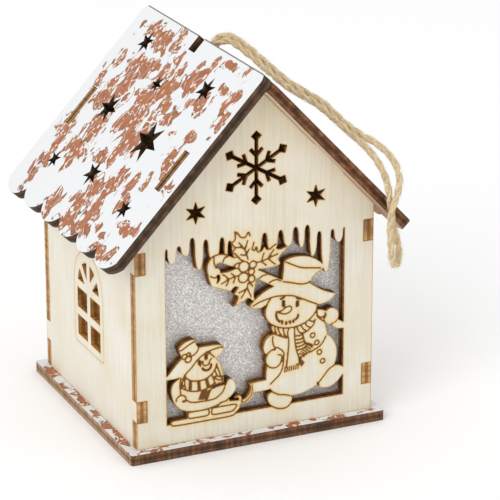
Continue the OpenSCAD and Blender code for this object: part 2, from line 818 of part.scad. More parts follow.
module hanging_cord() {
    axes = cord_sides_from(0, [1, 0, 0]);
    n = len(cord_points);
    points = [
        for (i = [0:n - 1], k = [0:cord_sides - 1])
            let (a = 360 * k / cord_sides)
            cord_points[i] + (axes[i][0] * cos(a) + axes[i][1] * sin(a)) * cord_d / 2
    ];
    faces = concat(
        [[for (k = [0:cord_sides - 1]) k]],
        [
            for (i = [0:n - 2], k = [0:cord_sides - 1])
                let (a = i * cord_sides, b = (k + 1) % cord_sides)
                for (f = [
                    [a + k, a + cord_sides + k, a + b],
                    [a + b, a + cord_sides + k, a + cord_sides + b]
                ]) f
        ],
        [[for (k = [cord_sides - 1:-1:0]) (n - 1) * cord_sides + k]]
    );
    color("tan")
        polyhedron(points, faces, convexity = 10);
}

module cord_knot() {
    middle = (cord_points[0] + cord_points[len(cord_points) - 1]) / 2;
    color("tan")
        translate([middle[0], middle[1], knot_z])
            rotate_extrude()
                union() {
                    square([knot_r - knot_round, knot_h]);
                    translate([0, knot_round])
                        square([knot_r, knot_h - 2 * knot_round]);
                    for (z = [knot_round, knot_h - knot_round])
                        translate([knot_r - knot_round, z])
                            circle(knot_round);
                }
}

module light_case() {
    color("whitesmoke")
        rotate_extrude()
            difference() {
                union() {
                    translate([0, case_z])
                        square([case_r, case_h - case_edge_r]);
                    translate([0, case_top - 2 * case_edge_r])
                        square([case_r - case_edge_r, 2 * case_edge_r]);
                    translate([case_r - case_edge_r, case_top - case_edge_r])
                        circle(case_edge_r);
                }
                translate([-over, case_z - over])
                    square([case_in_r + over, case_h - case_wall + over]);
                translate([-over, case_top - case_wall - over])
                    square([led_r + fit_gap + over, case_wall + 2 * over]);
            }
}

// Outline of the battery cover, its round and its ear with the screw
module cover_outline(r, ear_r) {
    circle(r);
    rotate(screw_turn) {
        translate([screw_x, 0])
            circle(ear_r);
        translate([screw_x, -ear_r])
            square([-screw_x, 2 * ear_r]);
    }
}

// Puts what is drawn at the origin on the screw's axis, at a height
module at_screw(z) {
    translate([0, well_y, z])
        rotate(screw_turn)
            translate([screw_x, 0, 0])
                children();
}

module case_floor() {
    color("white")
        difference() {
            union() {
                translate([0, 0, case_z])
                    cylinder(h = floor_t, r = floor_r);
                translate([0, well_y, case_z])
                    cylinder(h = well_top - case_z, r = well_r + well_wall);
                at_screw(case_z)
                    cylinder(h = screw_l + floor_t, r = screw_boss_r);
                for (side = [-1, 1])
                    translate([side * post_x, 0, well_top - well_roof_t])
                        cylinder(h = post_h + well_roof_t, r = post_r);
            }
            translate([0, well_y, case_z - over])
                cylinder(h = well_roof_z - case_z + over, r = well_r);
            translate([0, well_y, case_z - over])
                linear_extrude(cover_rim_t + over)
                    cover_outline(recess_r, screw_ear_r + run_gap);
            at_screw(case_z)
                cylinder(h = screw_l + floor_t / 2, r = screw_r + fit_gap);
            translate([
                -(knob_w + switch_travel) / 2 - run_gap,
                switch_y - knob_d / 2 - run_gap,
                case_z - over
            ])
                cube([
                    knob_w + switch_travel + 2 * run_gap,
                    knob_d + 2 * run_gap,
                    floor_t + 2 * over
                ]);
            // Pocket of the positive contact in the well's wall, and the way of both leads
            translate([
                -contact_w / 2 - fit_gap,
                well_y - well_r - sheet_metal_t - fit_gap,
                cell_z
            ])
                cube([contact_w + 2 * fit_gap, well_r / 4, well_top - cell_z + over]);
            translate([post_x / 2 - contact_w / 2, well_y - contact_w / 2, well_roof_z - over])
                cube([contact_w, sheet_metal_t + 2 * fit_gap, well_roof_t + 2 * over]);
        }
}

module battery_cover() {
    color("white")
        difference() {
            translate([0, well_y, case_z]) {
                linear_extrude(cover_rim_t - run_gap / 3)
                    cover_outline(well_r + cover_lap, screw_ear_r);
                cylinder(h = floor_t, r = well_r - run_gap);
            }
            at_screw(case_z - over)
                cylinder(h = floor_t + 2 * over, r = screw_r + fit_gap);
            at_screw(case_z - over)
                cylinder(h = over + screw_head_t - sheet_metal_t, r = screw_head_r + fit_gap);
        }
}

module cover_screw() {
    color("silver")
        at_screw(case_z - sheet_metal_t / 2) {
            difference() {
                cylinder(h = screw_head_t - sheet_metal_t / 2, r = screw_head_r);
                for (turn = [0, 90])
                    rotate(turn)
                        translate([-screw_head_r / 2, -lead_w / 2, -over])
                            cube([screw_head_r, lead_w, over + sheet_metal_t]);
            }
            cylinder(h = screw_l, r = screw_r);
        }
}

module coin_cell() {
    color("gainsboro")
        translate([0, well_y, cell_z])
            rotate_extrude() {
                square([cell_r, cell_t - sheet_metal_t]);
                square([cell_r * cell_step_share, cell_t]);
            }
}

module contact_positive() {
    color("silver")
        translate([-contact_w / 2, well_y - well_r - sheet_metal_t, cell_z + fit_gap])
            cube([contact_w, sheet_metal_t, board_z - cell_z - 2 * fit_gap]);
}

module contact_negative() {
    color("silver")
        translate([0, well_y, 0]) {
            translate([0, 0, cell_z + cell_t + glue_gap])
                cylinder(h = sheet_metal_t, r = dimple_r);
            translate([-dimple_r, -contact_w / 2, well_roof_z - sheet_metal_t - glue_gap])
                cube([post_x / 2 + dimple_r, contact_w, sheet_metal_t]);
        }
}

module circuit_board() {
    color("seagreen")
        difference() {
            translate([-board_w / 2, -board_front, board_z])
                cube([board_w, board_front + board_back, board_t]);
            for (side = [-1, 1])
                translate([side * lead_pitch / 2, 0, board_z - over])
                    cylinder(h = board_t + 2 * over, r = solder_hole_r);
            for (i = [-1:1])
                translate([i * pin_pitch, switch_y, board_z - over])
                    cylinder(h = board_t + 2 * over, r = solder_hole_r);
        }
}

module led() {
    color("ivory")
        translate([0, 0, board_top])
            rotate_extrude() {
                square([led_flange_r, led_flange_t]);
                square([led_r, led_top - led_r - board_top]);
                intersection() {
                    translate([0, led_top - led_r - board_top])
                        circle(led_r);
                    square([led_r, led_top - board_top]);
                }
            }
}

module led_leads() {
    color("silver")
        for (side = [-1, 1])
            translate([
                side * lead_pitch / 2 - lead_w / 2,
                -lead_w / 2,
                board_z - lead_stub
            ])
                cube([lead_w, lead_w, board_t + lead_stub]);
}

module switch_body() {
    color("lightgrey")
        translate([0, switch_y, floor_top]) {
            difference() {
                translate([-switch_w / 2, -switch_d / 2, 0])
                    cube([switch_w, switch_d, switch_h]);
                translate([
                    switch_wall - switch_w / 2,
                    switch_wall - switch_d / 2,
                    switch_wall
                ])
                    cube([
                        switch_w - 2 * switch_wall,
                        switch_d - 2 * switch_wall,
                        switch_h - 3 * switch_wall
                    ]);
                translate([
                    -(knob_w + switch_travel) / 2 - run_gap,
                    -knob_d / 2 - run_gap,
                    -over
                ])
                    cube([
                        knob_w + switch_travel + 2 * run_gap,
                        knob_d + 2 * run_gap,
                        switch_wall + 2 * over
                    ]);
            }
            for (i = [-1:1])
                translate([i * pin_pitch - lead_w / 2, -lead_w / 2, switch_h])
                    cube([lead_w, lead_w, board_top + lead_w - floor_top - switch_h]);
        }
}

module switch_knob() {
    color("dimgray")
        translate([-switch_travel / 2, switch_y, 0]) {
            translate([-knob_w / 2, -knob_d / 2, knob_tip_z])
                cube([knob_w, knob_d, floor_top + switch_wall + shoe_t - knob_tip_z]);
            translate([
                -shoe_w / 2,
                switch_wall + run_gap - switch_d / 2,
                floor_top + switch_wall + run_gap
            ])
                cube([shoe_w, switch_d - 2 * (switch_wall + run_gap), shoe_t]);
        }
}

base_plate();
front_wall();
back_wall();
left_wall();
right_wall();
roof_left();
roof_right();
glitter_sheet();
hanging_cord();
cord_knot();
light_case();
case_floor();
battery_cover();
cover_screw();
coin_cell();
contact_positive();
contact_negative();
circuit_board();
led();
led_leads();
switch_body();
switch_knob();
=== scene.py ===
# The looks of a small plywood lamp in the shape of a winter house: laser cut panels with burnt
# edges, an engraved scene before glitter film, a snow printed roof, a jute loop and a round
# battery light in the base. Lengths are metres, Z is up and the front faces -Y.
import math
import random

import bpy
import numpy as np
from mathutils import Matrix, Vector, kdtree
from mathutils.geometry import delaunay_2d_cdt


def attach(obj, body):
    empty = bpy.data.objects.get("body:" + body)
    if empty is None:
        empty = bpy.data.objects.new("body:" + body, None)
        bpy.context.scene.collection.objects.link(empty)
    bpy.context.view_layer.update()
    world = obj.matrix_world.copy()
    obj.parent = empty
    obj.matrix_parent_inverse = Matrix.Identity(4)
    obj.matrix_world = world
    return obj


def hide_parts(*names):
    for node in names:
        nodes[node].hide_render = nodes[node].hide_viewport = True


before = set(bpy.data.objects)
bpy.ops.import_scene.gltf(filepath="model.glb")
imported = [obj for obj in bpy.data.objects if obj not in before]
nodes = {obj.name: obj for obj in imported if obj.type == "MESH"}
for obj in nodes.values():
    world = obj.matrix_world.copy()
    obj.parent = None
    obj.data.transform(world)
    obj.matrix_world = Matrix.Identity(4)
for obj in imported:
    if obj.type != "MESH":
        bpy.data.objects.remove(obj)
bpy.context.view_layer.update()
MM = 0.001
bpy.ops.object.select_all(action="DESELECT")

# Camera. It stands to the left of the front and a little above the roof, far enough away for
# a long lens, so that upright edges stay nearly parallel.
azimuth, elevation = math.radians(-24.49), math.radians(19.86)
house_middle = Vector((0, 0, 50 * MM))
camera_back, camera_right, camera_down = 753.1, 12.8, 5.1
backwards = Vector((
    math.sin(azimuth) * math.cos(elevation),
    -math.cos(azimuth) * math.cos(elevation),
    math.sin(elevation),
))
rightwards = Vector((math.cos(azimuth), math.sin(azimuth), 0))
upwards = backwards.cross(rightwards)
camera = bpy.data.objects.new("camera", bpy.data.cameras.new("camera"))
camera.location = (
    house_middle + backwards * camera_back * MM
    + rightwards * camera_right * MM - upwards * camera_down * MM
)
camera.rotation_euler = (-backwards).to_track_quat("-Z", "Y").to_euler()
camera.data.sensor_width = 36
camera.data.lens = 190.8
bpy.context.scene.collection.objects.link(camera)
bpy.context.scene.camera = camera

# Hanging loop. Two-ply jute cord, knotted under the ridge, comes up through the notch, lies out
# over the right slope and hangs with its end beside the front corner of the eave. The route has
# the same points as the solid cord, and the plies are laid round it as a rope maker twists them.
cord_d = 1.8 * MM
ply_r = 0.6 * MM
ply_lay = 7.5 * MM
ply_fibres = 10
hairs, hair_reach = 3200, 0.95 * MM
cord_route = [
    (1.2, 0, 97.9), (1.2, 0, 99.4), (2.3, 0, 101.8), (3.3, 0, 104.2), (4.5, -1.6, 105.8),
    (6.5, -3.8, 106.2), (8.7, -6, 104.5), (11.6, -9, 101.7), (17.9, -16, 95.2),
    (24.2, -22, 90.9), (31, -29, 83.8), (34.6, -34, 79.5), (36.2, -38, 75.6),
    (36.7, -41, 71.6), (36.8, -42.4, 68), (37.2, -42.6, 64), (38, -42.6, 60),
    (39.2, -42.6, 55.6), (39.6, -43, 52.4), (38.9, -44, 50), (37.4, -45.2, 49.4),
    (36.1, -46, 50.8), (35.5, -46.4, 54), (35.2, -46.2, 58), (35.4, -45.6, 62),
    (36.4, -45, 66), (38.3, -44.2, 69.8), (39.8, -42, 73.6), (39.8, -38.3, 77.3),
    (37.5, -34, 80.7), (32.5, -27.7, 84.3), (25.7, -20.7, 91.4), (19.4, -14.7, 95.7),
    (13.1, -7.7, 102.2), (10, -4.5, 105.2), (7.3, -1.8, 107.1), (4.9, 0.7, 106.5),
    (3.6, 2.1, 104.4), (2.4, 2, 101.9), (1.2, 2, 99.4), (1.2, 2, 97.9),
]


def smooth_line(points, spacing):
    """Points a given distance apart on a smooth curve through the given points."""
    p = np.array(points, float)
    heading = np.concatenate([p[1:], p[-1:]]) - np.concatenate([p[:1], p[:-1]])
    heading /= np.maximum(np.linalg.norm(heading, axis=1, keepdims=True), 1e-12)
    made = []
    for a, b, out, into in zip(p[:-1], p[1:], heading[:-1], heading[1:]):
        run = np.linalg.norm(b - a)
        t = np.arange(0, 1, min(0.5, spacing / max(run, 1e-12)))[:, None]
        made.append(
            (2 * t**3 - 3 * t**2 + 1) * a + (t**3 - 2 * t**2 + t) * run * out
            + (3 * t**2 - 2 * t**3) * b + (t**3 - t**2) * run * into
        )
    return np.concatenate(made + [p[-1:]])


def axes_along(line, closed=False):
    """Two directions square to a line at each of its points, turned as little as may be."""
    ahead = np.roll(line, -1, axis=0) - np.roll(line, 1, axis=0)
    if not closed:
        ahead[0], ahead[-1] = line[1] - line[0], line[-1] - line[-2]
    ahead /= np.linalg.norm(ahead, axis=1, keepdims=True)
    side = np.cross(ahead[0], (0.3, 0.5, 0.8))
    sides = []
    for t in ahead:
        side = side - t * (side @ t)
        side /= np.linalg.norm(side)
        sides.append(side)
    sides = np.array(sides)
    return sides, np.cross(ahead, sides)


def new_piece(name, vertices, faces):
    """A mesh object made of the given vertices and faces."""
    mesh = bpy.data.meshes.new(name)
    mesh.from_pydata([tuple(v) for v in vertices], [], faces)
    piece = bpy.data.objects.new(name, mesh)
    bpy.context.scene.collection.objects.link(piece)
    return piece


def two_ply(line, radius, closed=False):
    """Vertices and faces of two plies twisted round a line, each a bundle of coarse fibres that
    are spun the other way."""
    ply_out, hollow, bulge, spin = 0.62, 0.9, 1.04, 2.6
    sides, others = axes_along(line, closed)
    steps = np.linalg.norm(np.diff(line, axis=0), axis=1)
    along = np.concatenate([[0], np.cumsum(steps)])
    turns = along / ply_lay
    if closed:
        whole = along[-1] + steps[0]
        turns = along / whole * round(whole / ply_lay)
    rim, count = 2 * ply_fibres, len(line)
    vertices, faces = [], []
    for phase in (0, math.pi):
        first = len(vertices)
        for point, side, other, turn in zip(line, sides, others, 2 * math.pi * turns + phase):
            centre = point + (side * math.cos(turn) + other * math.sin(turn)) * radius * ply_out
            for k in range(rim):
                r = radius * (bulge if k % 2 else hollow)
                b = k / rim * 2 * math.pi - spin * turn
                vertices.append(centre + (side * math.cos(b) + other * math.sin(b)) * r)
        for i in range(count if closed else count - 1):
            for k in range(rim):
                near, far = first + i * rim, first + (i + 1) % count * rim
                faces.append((near + k, near + (k + 1) % rim, far + (k + 1) % rim, far + k))
        if not closed:
            faces.append([first + k for k in reversed(range(rim))])
            faces.append([first + (count - 1) * rim + k for k in range(rim)])
    return vertices, faces


def loose_fibres(line):
    """Vertices and faces of short hairs that stand off the cord, three sided and pointed."""
    sides, others = axes_along(line)
    rng = random.Random(11)
    vertices, faces = [], []
    for _ in range(hairs):
        i = rng.randrange(1, len(line) - 2)
        a = rng.uniform(0, 2 * math.pi)
        out = sides[i] * math.cos(a) + others[i] * math.sin(a)
        ahead = (line[i + 1] - line[i]) * rng.choice((-1, 1))
        ahead /= np.linalg.norm(ahead)
        across = np.cross(ahead, out)
        length = rng.uniform(0.8, 2.6) * MM
        lift = rng.uniform(0.1, 1) * hair_reach
        swerve = rng.uniform(-0.5, 0.5) * MM
        thick = rng.uniform(0.022, 0.04) * MM
        root = line[i] + out * cord_d * 0.46
        start = len(vertices)
        for share in (0, 0.35, 0.7, 1):
            bend = out * lift * share**2 + across * swerve * share**2
            centre = root + ahead * length * share + bend
            for turn in (0, 2 * math.pi / 3, 4 * math.pi / 3) if share < 1 else ():
                r = thick * (1 - 0.5 * share)
                vertices.append(centre + (out * math.cos(turn) + across * math.sin(turn)) * r)
        vertices.append(centre)
        faces.append((start + 2, start + 1, start))
        for k in range(3):
            after = (k + 1) % 3
            for ring in (start, start + 3):
                faces.append((ring + k, ring + after, ring + after + 3, ring + k + 3))
            faces.append((start + 6 + k, start + 6 + after, start + 9))
    return vertices, faces


def linear(colour):
    """The linear RGBA of an sRGB hex colour."""
    shares = [int(colour[i:i + 2], 16) / 255 for i in (1, 3, 5)]
    return tuple(s / 12.92 if s <= 0.04045 else ((s + 0.055) / 1.055) ** 2.4 for s in shares) + (1,)


def set_inputs(node, inputs):
    """Gives the inputs of a shader node their values or links."""
    for key, value in inputs.items():
        if isinstance(value, bpy.types.NodeSocket):
            node.id_data.links.new(value, node.inputs[key])
        else:
            node.inputs[key].default_value = value


def new_material(name):
    """A material, a function that adds a node to it, its shader, and its Object coordinates."""
    material = bpy.data.materials.new(name)
    material.use_nodes = True
    tree = material.node_tree

    def add(kind, inputs, output=None, stops=(), **settings):
        """The named output, or else the first, of a new shader node with its settings, its inputs
        and the stops of its ramp."""
        made = tree.nodes.new("ShaderNode" + kind)
        for key, value in settings.items():
            setattr(made, key, value)
        set_inputs(made, inputs)
        if stops:
            marks = made.color_ramp.elements
            while len(marks) < len(stops):
                marks.new(1)
            for mark, (place, colour) in zip(marks, stops):
                mark.position = place
                mark.color = linear(colour)
        return made.outputs[output] if output else next(o for o in made.outputs if o.enabled)

    return material, add, tree.nodes["Principled BSDF"], add("TexCoord", {}, "Object")


def dress(piece, *materials):
    """Gives a piece these materials in place of any that it has."""
    if piece.data.materials:
        piece.data.materials.clear()
    for material in materials:
        piece.data.materials.append(material)


def stand_for(piece, node):
    """Puts a piece in the place of a node of the house, and hides the node."""
    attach(piece, "house")
    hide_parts(node)


# Retted and spun jute is dull straw, with paler and browner fibres among the others; the spread
# from dark brown to near white is partly fibre colour and partly painted shade and highlight.
jute, add, shader, place = new_material("spun jute")
fibre = add("TexNoise", {"Vector": place, "Scale": 1 / (0.35 * MM), "Detail": 3.0})
patch = add("TexNoise", {"Vector": place, "Scale": 1 / (5 * MM), "Detail": 1.0})
tone = add("ValToRGB", {"Fac": fibre}, stops=[
    (0.32, "#8A7048"), (0.44, "#CBB183"), (0.56, "#E8D6B0"), (0.72, "#FFF8E8"),
])
set_inputs(shader, {
    "Base Color": add(
        "Mix", {"Factor": patch, "A": tone, "B": linear("#DCC498")}, data_type="RGBA"
    ),
    "Normal": add("Bump", {"Height": fibre, "Strength": 0.8, "Distance": 0.09 * MM}),
    "Roughness": 0.92, "Sheen Weight": 0.25, "Sheen Roughness": 0.6,
})
cord_line = smooth_line(np.array(cord_route) * MM, 0.35 * MM)
cord_points, cord_faces = two_ply(cord_line, ply_r)
hair_points, hair_faces = loose_fibres(cord_line)
cord_faces += [[len(cord_points) + i for i in face] for face in hair_faces]
jute_loop = new_piece("jute_loop", cord_points + hair_points, cord_faces)
dress(jute_loop, jute)
jute_loop.data.shade_smooth()
stand_for(jute_loop, "hanging_cord")

# Knot of the loop. Both ends of the same jute cord are tied together below the notch, too large
# to pass up through it, so that the knot carries the whole lamp when it hangs.
knot_x, knot_y, knot_z, knot_wide, knot_high = 1.2 * MM, 1 * MM, 95.7 * MM, 0.52 * MM, 1.25 * MM
knot_line = []
for i in range(120):
    t = 2 * math.pi * i / 120
    knot_line.append((
        (math.sin(t) + 2 * math.sin(2 * t)) * knot_wide + knot_x,
        (math.cos(t) - 2 * math.cos(2 * t)) * knot_wide + knot_y,
        -math.sin(3 * t) * knot_high + knot_z,
    ))
jute_knot = new_piece("jute_knot", *two_ply(np.array(knot_line), ply_r * 0.95, closed=True))
dress(jute_knot, jute)
jute_knot.data.shade_smooth()
stand_for(jute_knot, "cord_knot")
[c * MM for c in cord_route[0]]

# Front wall. One 3 mm sheet of basswood plywood, cut by a laser into a gable with the scene in
# its opening. The weaker beam draws the inner lines, which stay as brown grooves, and every cut
# leaves its edge burnt and a yellow bloom on the face beside it.
scene_w, scene_low, scene_h = 54.4, 8.9, 51.0
thin, plain, thick, bold = 0.14, 0.2, 0.36, 0.55


def arc(x, y, wide, high, count, start=0, stop=360):
    """The course of an ellipse, or part of one in degrees from the right, anticlockwise."""
    angles = [math.radians(start + (stop - start) * i / count) for i in range(count + 1)]
    return [c for a in angles for c in (x + wide * math.cos(a), y + high * math.sin(a))]


def tassels(first, last, reach, count, offset=0.0):
    """Short courses side by side, such as the fringe at the end of a scarf."""
    made = []
    for i in range(count):
        share = i / (count - 1)
        u, v = (first[k] + (last[k] - first[k]) * share + reach[k] * offset for k in (0, 1))
        made.append((u, v, u + reach[0], v + reach[1]))
    return made


# Each group of strokes is half their width in mm, and then their courses in thousandths of the
# scene's width and height, two numbers to a point.
snowman_lines = [
    (plain, (483, 607, 518, 623, 575, 637, 600, 641, 641, 640, 702, 630, 754, 605, 798, 581, 838,
     560), (555, 597, 575, 625, 583, 638), (665, 830, 700, 810, 750, 785, 800, 775, 860, 765), (650,
     720, 700, 705, 750, 690, 790, 690, 797, 697), arc(697, 555, 146, 109, 36, 222, 360)),
    (bold, (652, 580, 652, 604), (730, 566, 730, 590)),
    (thick, (637, 621, 655, 629), (728, 613, 748, 605)),
    (plain, (612, 552, 640, 553, 662, 566, 680, 573, 693, 569, 699, 558, 694, 545, 680, 535, 660,
     532, 640, 538, 612, 552)),
    (thick, (611, 540, 613, 522, 619, 505, 631, 493), (645, 491, 645, 480), (668, 484, 667, 473),
     (690, 485, 690, 474), (707, 488, 709, 478), (722, 490, 731, 500, 736, 515)),
    (plain, (593, 410, 592, 385, 597, 360, 607, 340), (558, 314, 575, 325, 590, 335, 603, 331, 615,
     344, 630, 335, 650, 315, 657, 295, 655, 283), (643, 275, 636, 248, 620, 232, 600, 227, 578,
     234, 562, 250), (627, 300, 640, 294, 650, 283), (655, 272, 652, 240, 645, 210, 630, 180, 605,
     157, 580, 135), (592, 432, 620, 415, 645, 402, 668, 390), (750, 402, 775, 405, 800, 420, 822,
     442, 832, 470), (603, 468, 607, 440, 613, 425), (620, 456, 632, 425, 645, 404), (651, 448, 657,
     420, 668, 394), (728, 442, 738, 418, 752, 402), (753, 445, 767, 423, 785, 410), (777, 452, 790,
     436, 807, 428), (800, 470, 815, 461, 829, 462), (681, 440, 676, 420, 682, 380, 682, 340, 679,
     300, 672, 225), (716, 440, 715, 400, 720, 345, 727, 305, 738, 272, 742, 240), *tassels((663,
     216), (738, 222), (-3, -24), 7), *tassels((745, 227), (757, 243), (12, -16), 3)),
    (thick, (745, 240, 752, 262)),
    (plain, (757, 405, 765, 380, 772, 355, 782, 338)),
    (thick, (782, 338, 798, 331, 815, 320)),
    (plain, (718, 393, 738, 391, 760, 394), (721, 370, 742, 369, 765, 374), (724, 347, 746, 348,
     771, 356), (729, 326, 752, 329, 779, 339), (737, 307, 758, 311, 785, 324), *tassels((759, 274),
     (803, 321), (24, -22), 6, -0.5), (893, 362, 880, 335, 862, 313, 838, 298, 805, 284, 770, 277),
     arc(818, 380, 13, 13, 14), arc(842, 333, 12, 13, 14), arc(857, 274, 13, 14, 14), arc(876, 219,
     13, 13, 14), (845, 535, 841, 505, 850, 485, 870, 477, 885, 485), (840, 492, 858, 470, 880,
     452), (886, 500, 893, 487, 882, 465)),
    (thin, (925, 430, 948, 438, 962, 455)),
    (plain, (940, 180, 915, 165, 890, 137, 867, 108, 855, 95)),
    (thick, (848, 92, 853, 82)),
    (plain, (583, 90, 605, 78, 632, 63, 660, 58, 690, 47), (583, 8, 605, -8, 630, -19, 658, -22,
     682, -14, 700, 10)),
]
sled_lines = [
    (plain, (105, 275, 144, 312, 175, 350, 200, 370, 225, 385, 260, 395, 300, 402, 315, 400), (73,
     420, 88, 420, 105, 430, 130, 445, 150, 455, 165, 458), (182, 418, 175, 400, 160, 385, 145,
     378), arc(105, 380, 14, 14, 14), arc(128, 390, 10, 10, 12), arc(125, 362, 17, 17, 16)),
    (bold, (187, 328, 187, 340), (223, 353, 223, 368)),
    (plain, (225, 388, 245, 375, 258, 362, 268, 350), (207, 335, 205, 325, 213, 312, 228, 310, 240,
     322, 247, 340, 252, 343)),
    (thick, (203, 297, 210, 287, 225, 281, 240, 285, 249, 297, 250, 312)),
    (plain, (105, 270, 120, 250, 150, 233, 190, 228, 220, 233, 250, 250, 270, 275, 282, 310), (92,
     200, 110, 188, 130, 178, 165, 170, 200, 170, 235, 178, 262, 195), (100, 262, 92, 232, 93, 205),
     (108, 258, 105, 228, 109, 196), (131, 240, 130, 205, 129, 182), (142, 236, 141, 200, 139, 178),
     (176, 229, 178, 200, 180, 172), (186, 228, 189, 200, 190, 172), (218, 232, 224, 205, 230, 178),
     (228, 236, 234, 208, 241, 182), (252, 254, 262, 228, 270, 205), (282, 300, 293, 268, 303, 235,
     318, 195), (272, 272, 283, 240, 300, 230, 315, 232), (268, 235, 290, 214, 318, 213)),
    (bold, (258, 176, 282, 184, 318, 188)),
    (plain, (57, 130, 60, 145, 75, 158, 90, 160, 107, 150, 110, 135, 100, 118, 93, 125), (85, 262,
     79, 220, 83, 165), *tassels((182, 119), (229, 115), (17, 46), 5), (112, 130, 130, 115, 155,
     107, 190, 105, 240, 104), (240, 104, 270, 108, 295, 122, 315, 142, 325, 165), (90, 70, 130, 57,
     190, 53, 250, 59, 300, 73), (30, 0, 40, -9, 100, -12, 200, -12, 300, -12, 365, -10, 385, 0,
     410, 28), (302, 79, 318, 80, 340, 86), (262, 55, 320, 55, 365, 55, 388, 53), (128, 53, 170, 53,
     220, 53, 235, 50, 238, 35, 234, 20, 222, 16, 170, 16, 136, 17, 124, 22, 121, 36, 124, 50, 132,
     53), (256, 52, 252, 36, 255, 20, 268, 15, 320, 15, 362, 16, 378, 26, 392, 44)),
    (thin, (477, 150, 479, 120, 470, 90, 455, 70, 440, 60, 424, 58)),
    (plain, (384, 86, 392, 91, 400, 86, 401, 75), (420, 98, 422, 80, 419, 60)),
]
holly_lines = [
    (plain, arc(432, 841, 28, 30, 22), arc(429, 779, 27, 28, 22), arc(482, 845, 19, 20, 16),
     arc(474, 806, 16, 17, 16), arc(475, 765, 17, 19, 16), (383, 1047, 385, 1020, 383, 1000, 367,
     985, 371, 972, 383, 957, 378, 943, 366, 930), (383, 1047, 400, 1033, 413, 1013, 430, 1005, 445,
     1013, 457, 1032, 465, 1012), (487, 972, 483, 952, 479, 936, 491, 923, 502, 941, 505, 918, 515,
     910), (455, 880, 447, 910, 435, 945), (405, 980, 422, 960, 437, 938, 444, 955, 453, 985), (395,
     956, 418, 952, 433, 943), (415, 912, 445, 905, 452, 918, 460, 935), (500, 853, 530, 856, 565,
     867, 620, 885), (530, 856, 535, 878, 542, 900), (530, 856, 542, 842, 555, 830), (565, 867, 578,
     888, 597, 910), (565, 867, 583, 848, 605, 828), (572, 918, 590, 930, 610, 942), (405, 795, 380,
     792, 350, 782, 310, 763), (350, 782, 338, 797, 317, 815), (350, 782, 345, 765, 335, 748), (385,
     790, 375, 802, 362, 814), (385, 790, 380, 775, 375, 757), (455, 740, 450, 720, 437, 695, 418,
     665), (450, 720, 460, 693, 472, 663), (445, 712, 425, 703, 405, 697), (465, 745, 480, 722),
     (240, 905, 255, 920, 280, 930, 310, 932, 345, 921), (270, 925, 268, 900, 275, 870, 285, 860),
     (350, 916, 330, 908, 320, 895, 318, 885), (250, 815, 270, 804, 287, 808), (373, 852, 390, 863,
     405, 868), (377, 847, 395, 838, 408, 832), (515, 758, 530, 770, 560, 776, 582, 772), (568, 722,
     590, 735, 620, 737, 636, 727), (366, 928, 385, 921, 400, 902, 415, 884, 430, 875)),
    (thin, (360, 912, 375, 903, 393, 900), (297, 736, 308, 727)),
]


def nearest(tree, point):
    """How far a point in the panel's plane is from the points of a tree."""
    return tree.find((point[0], point[1], 0))[2]


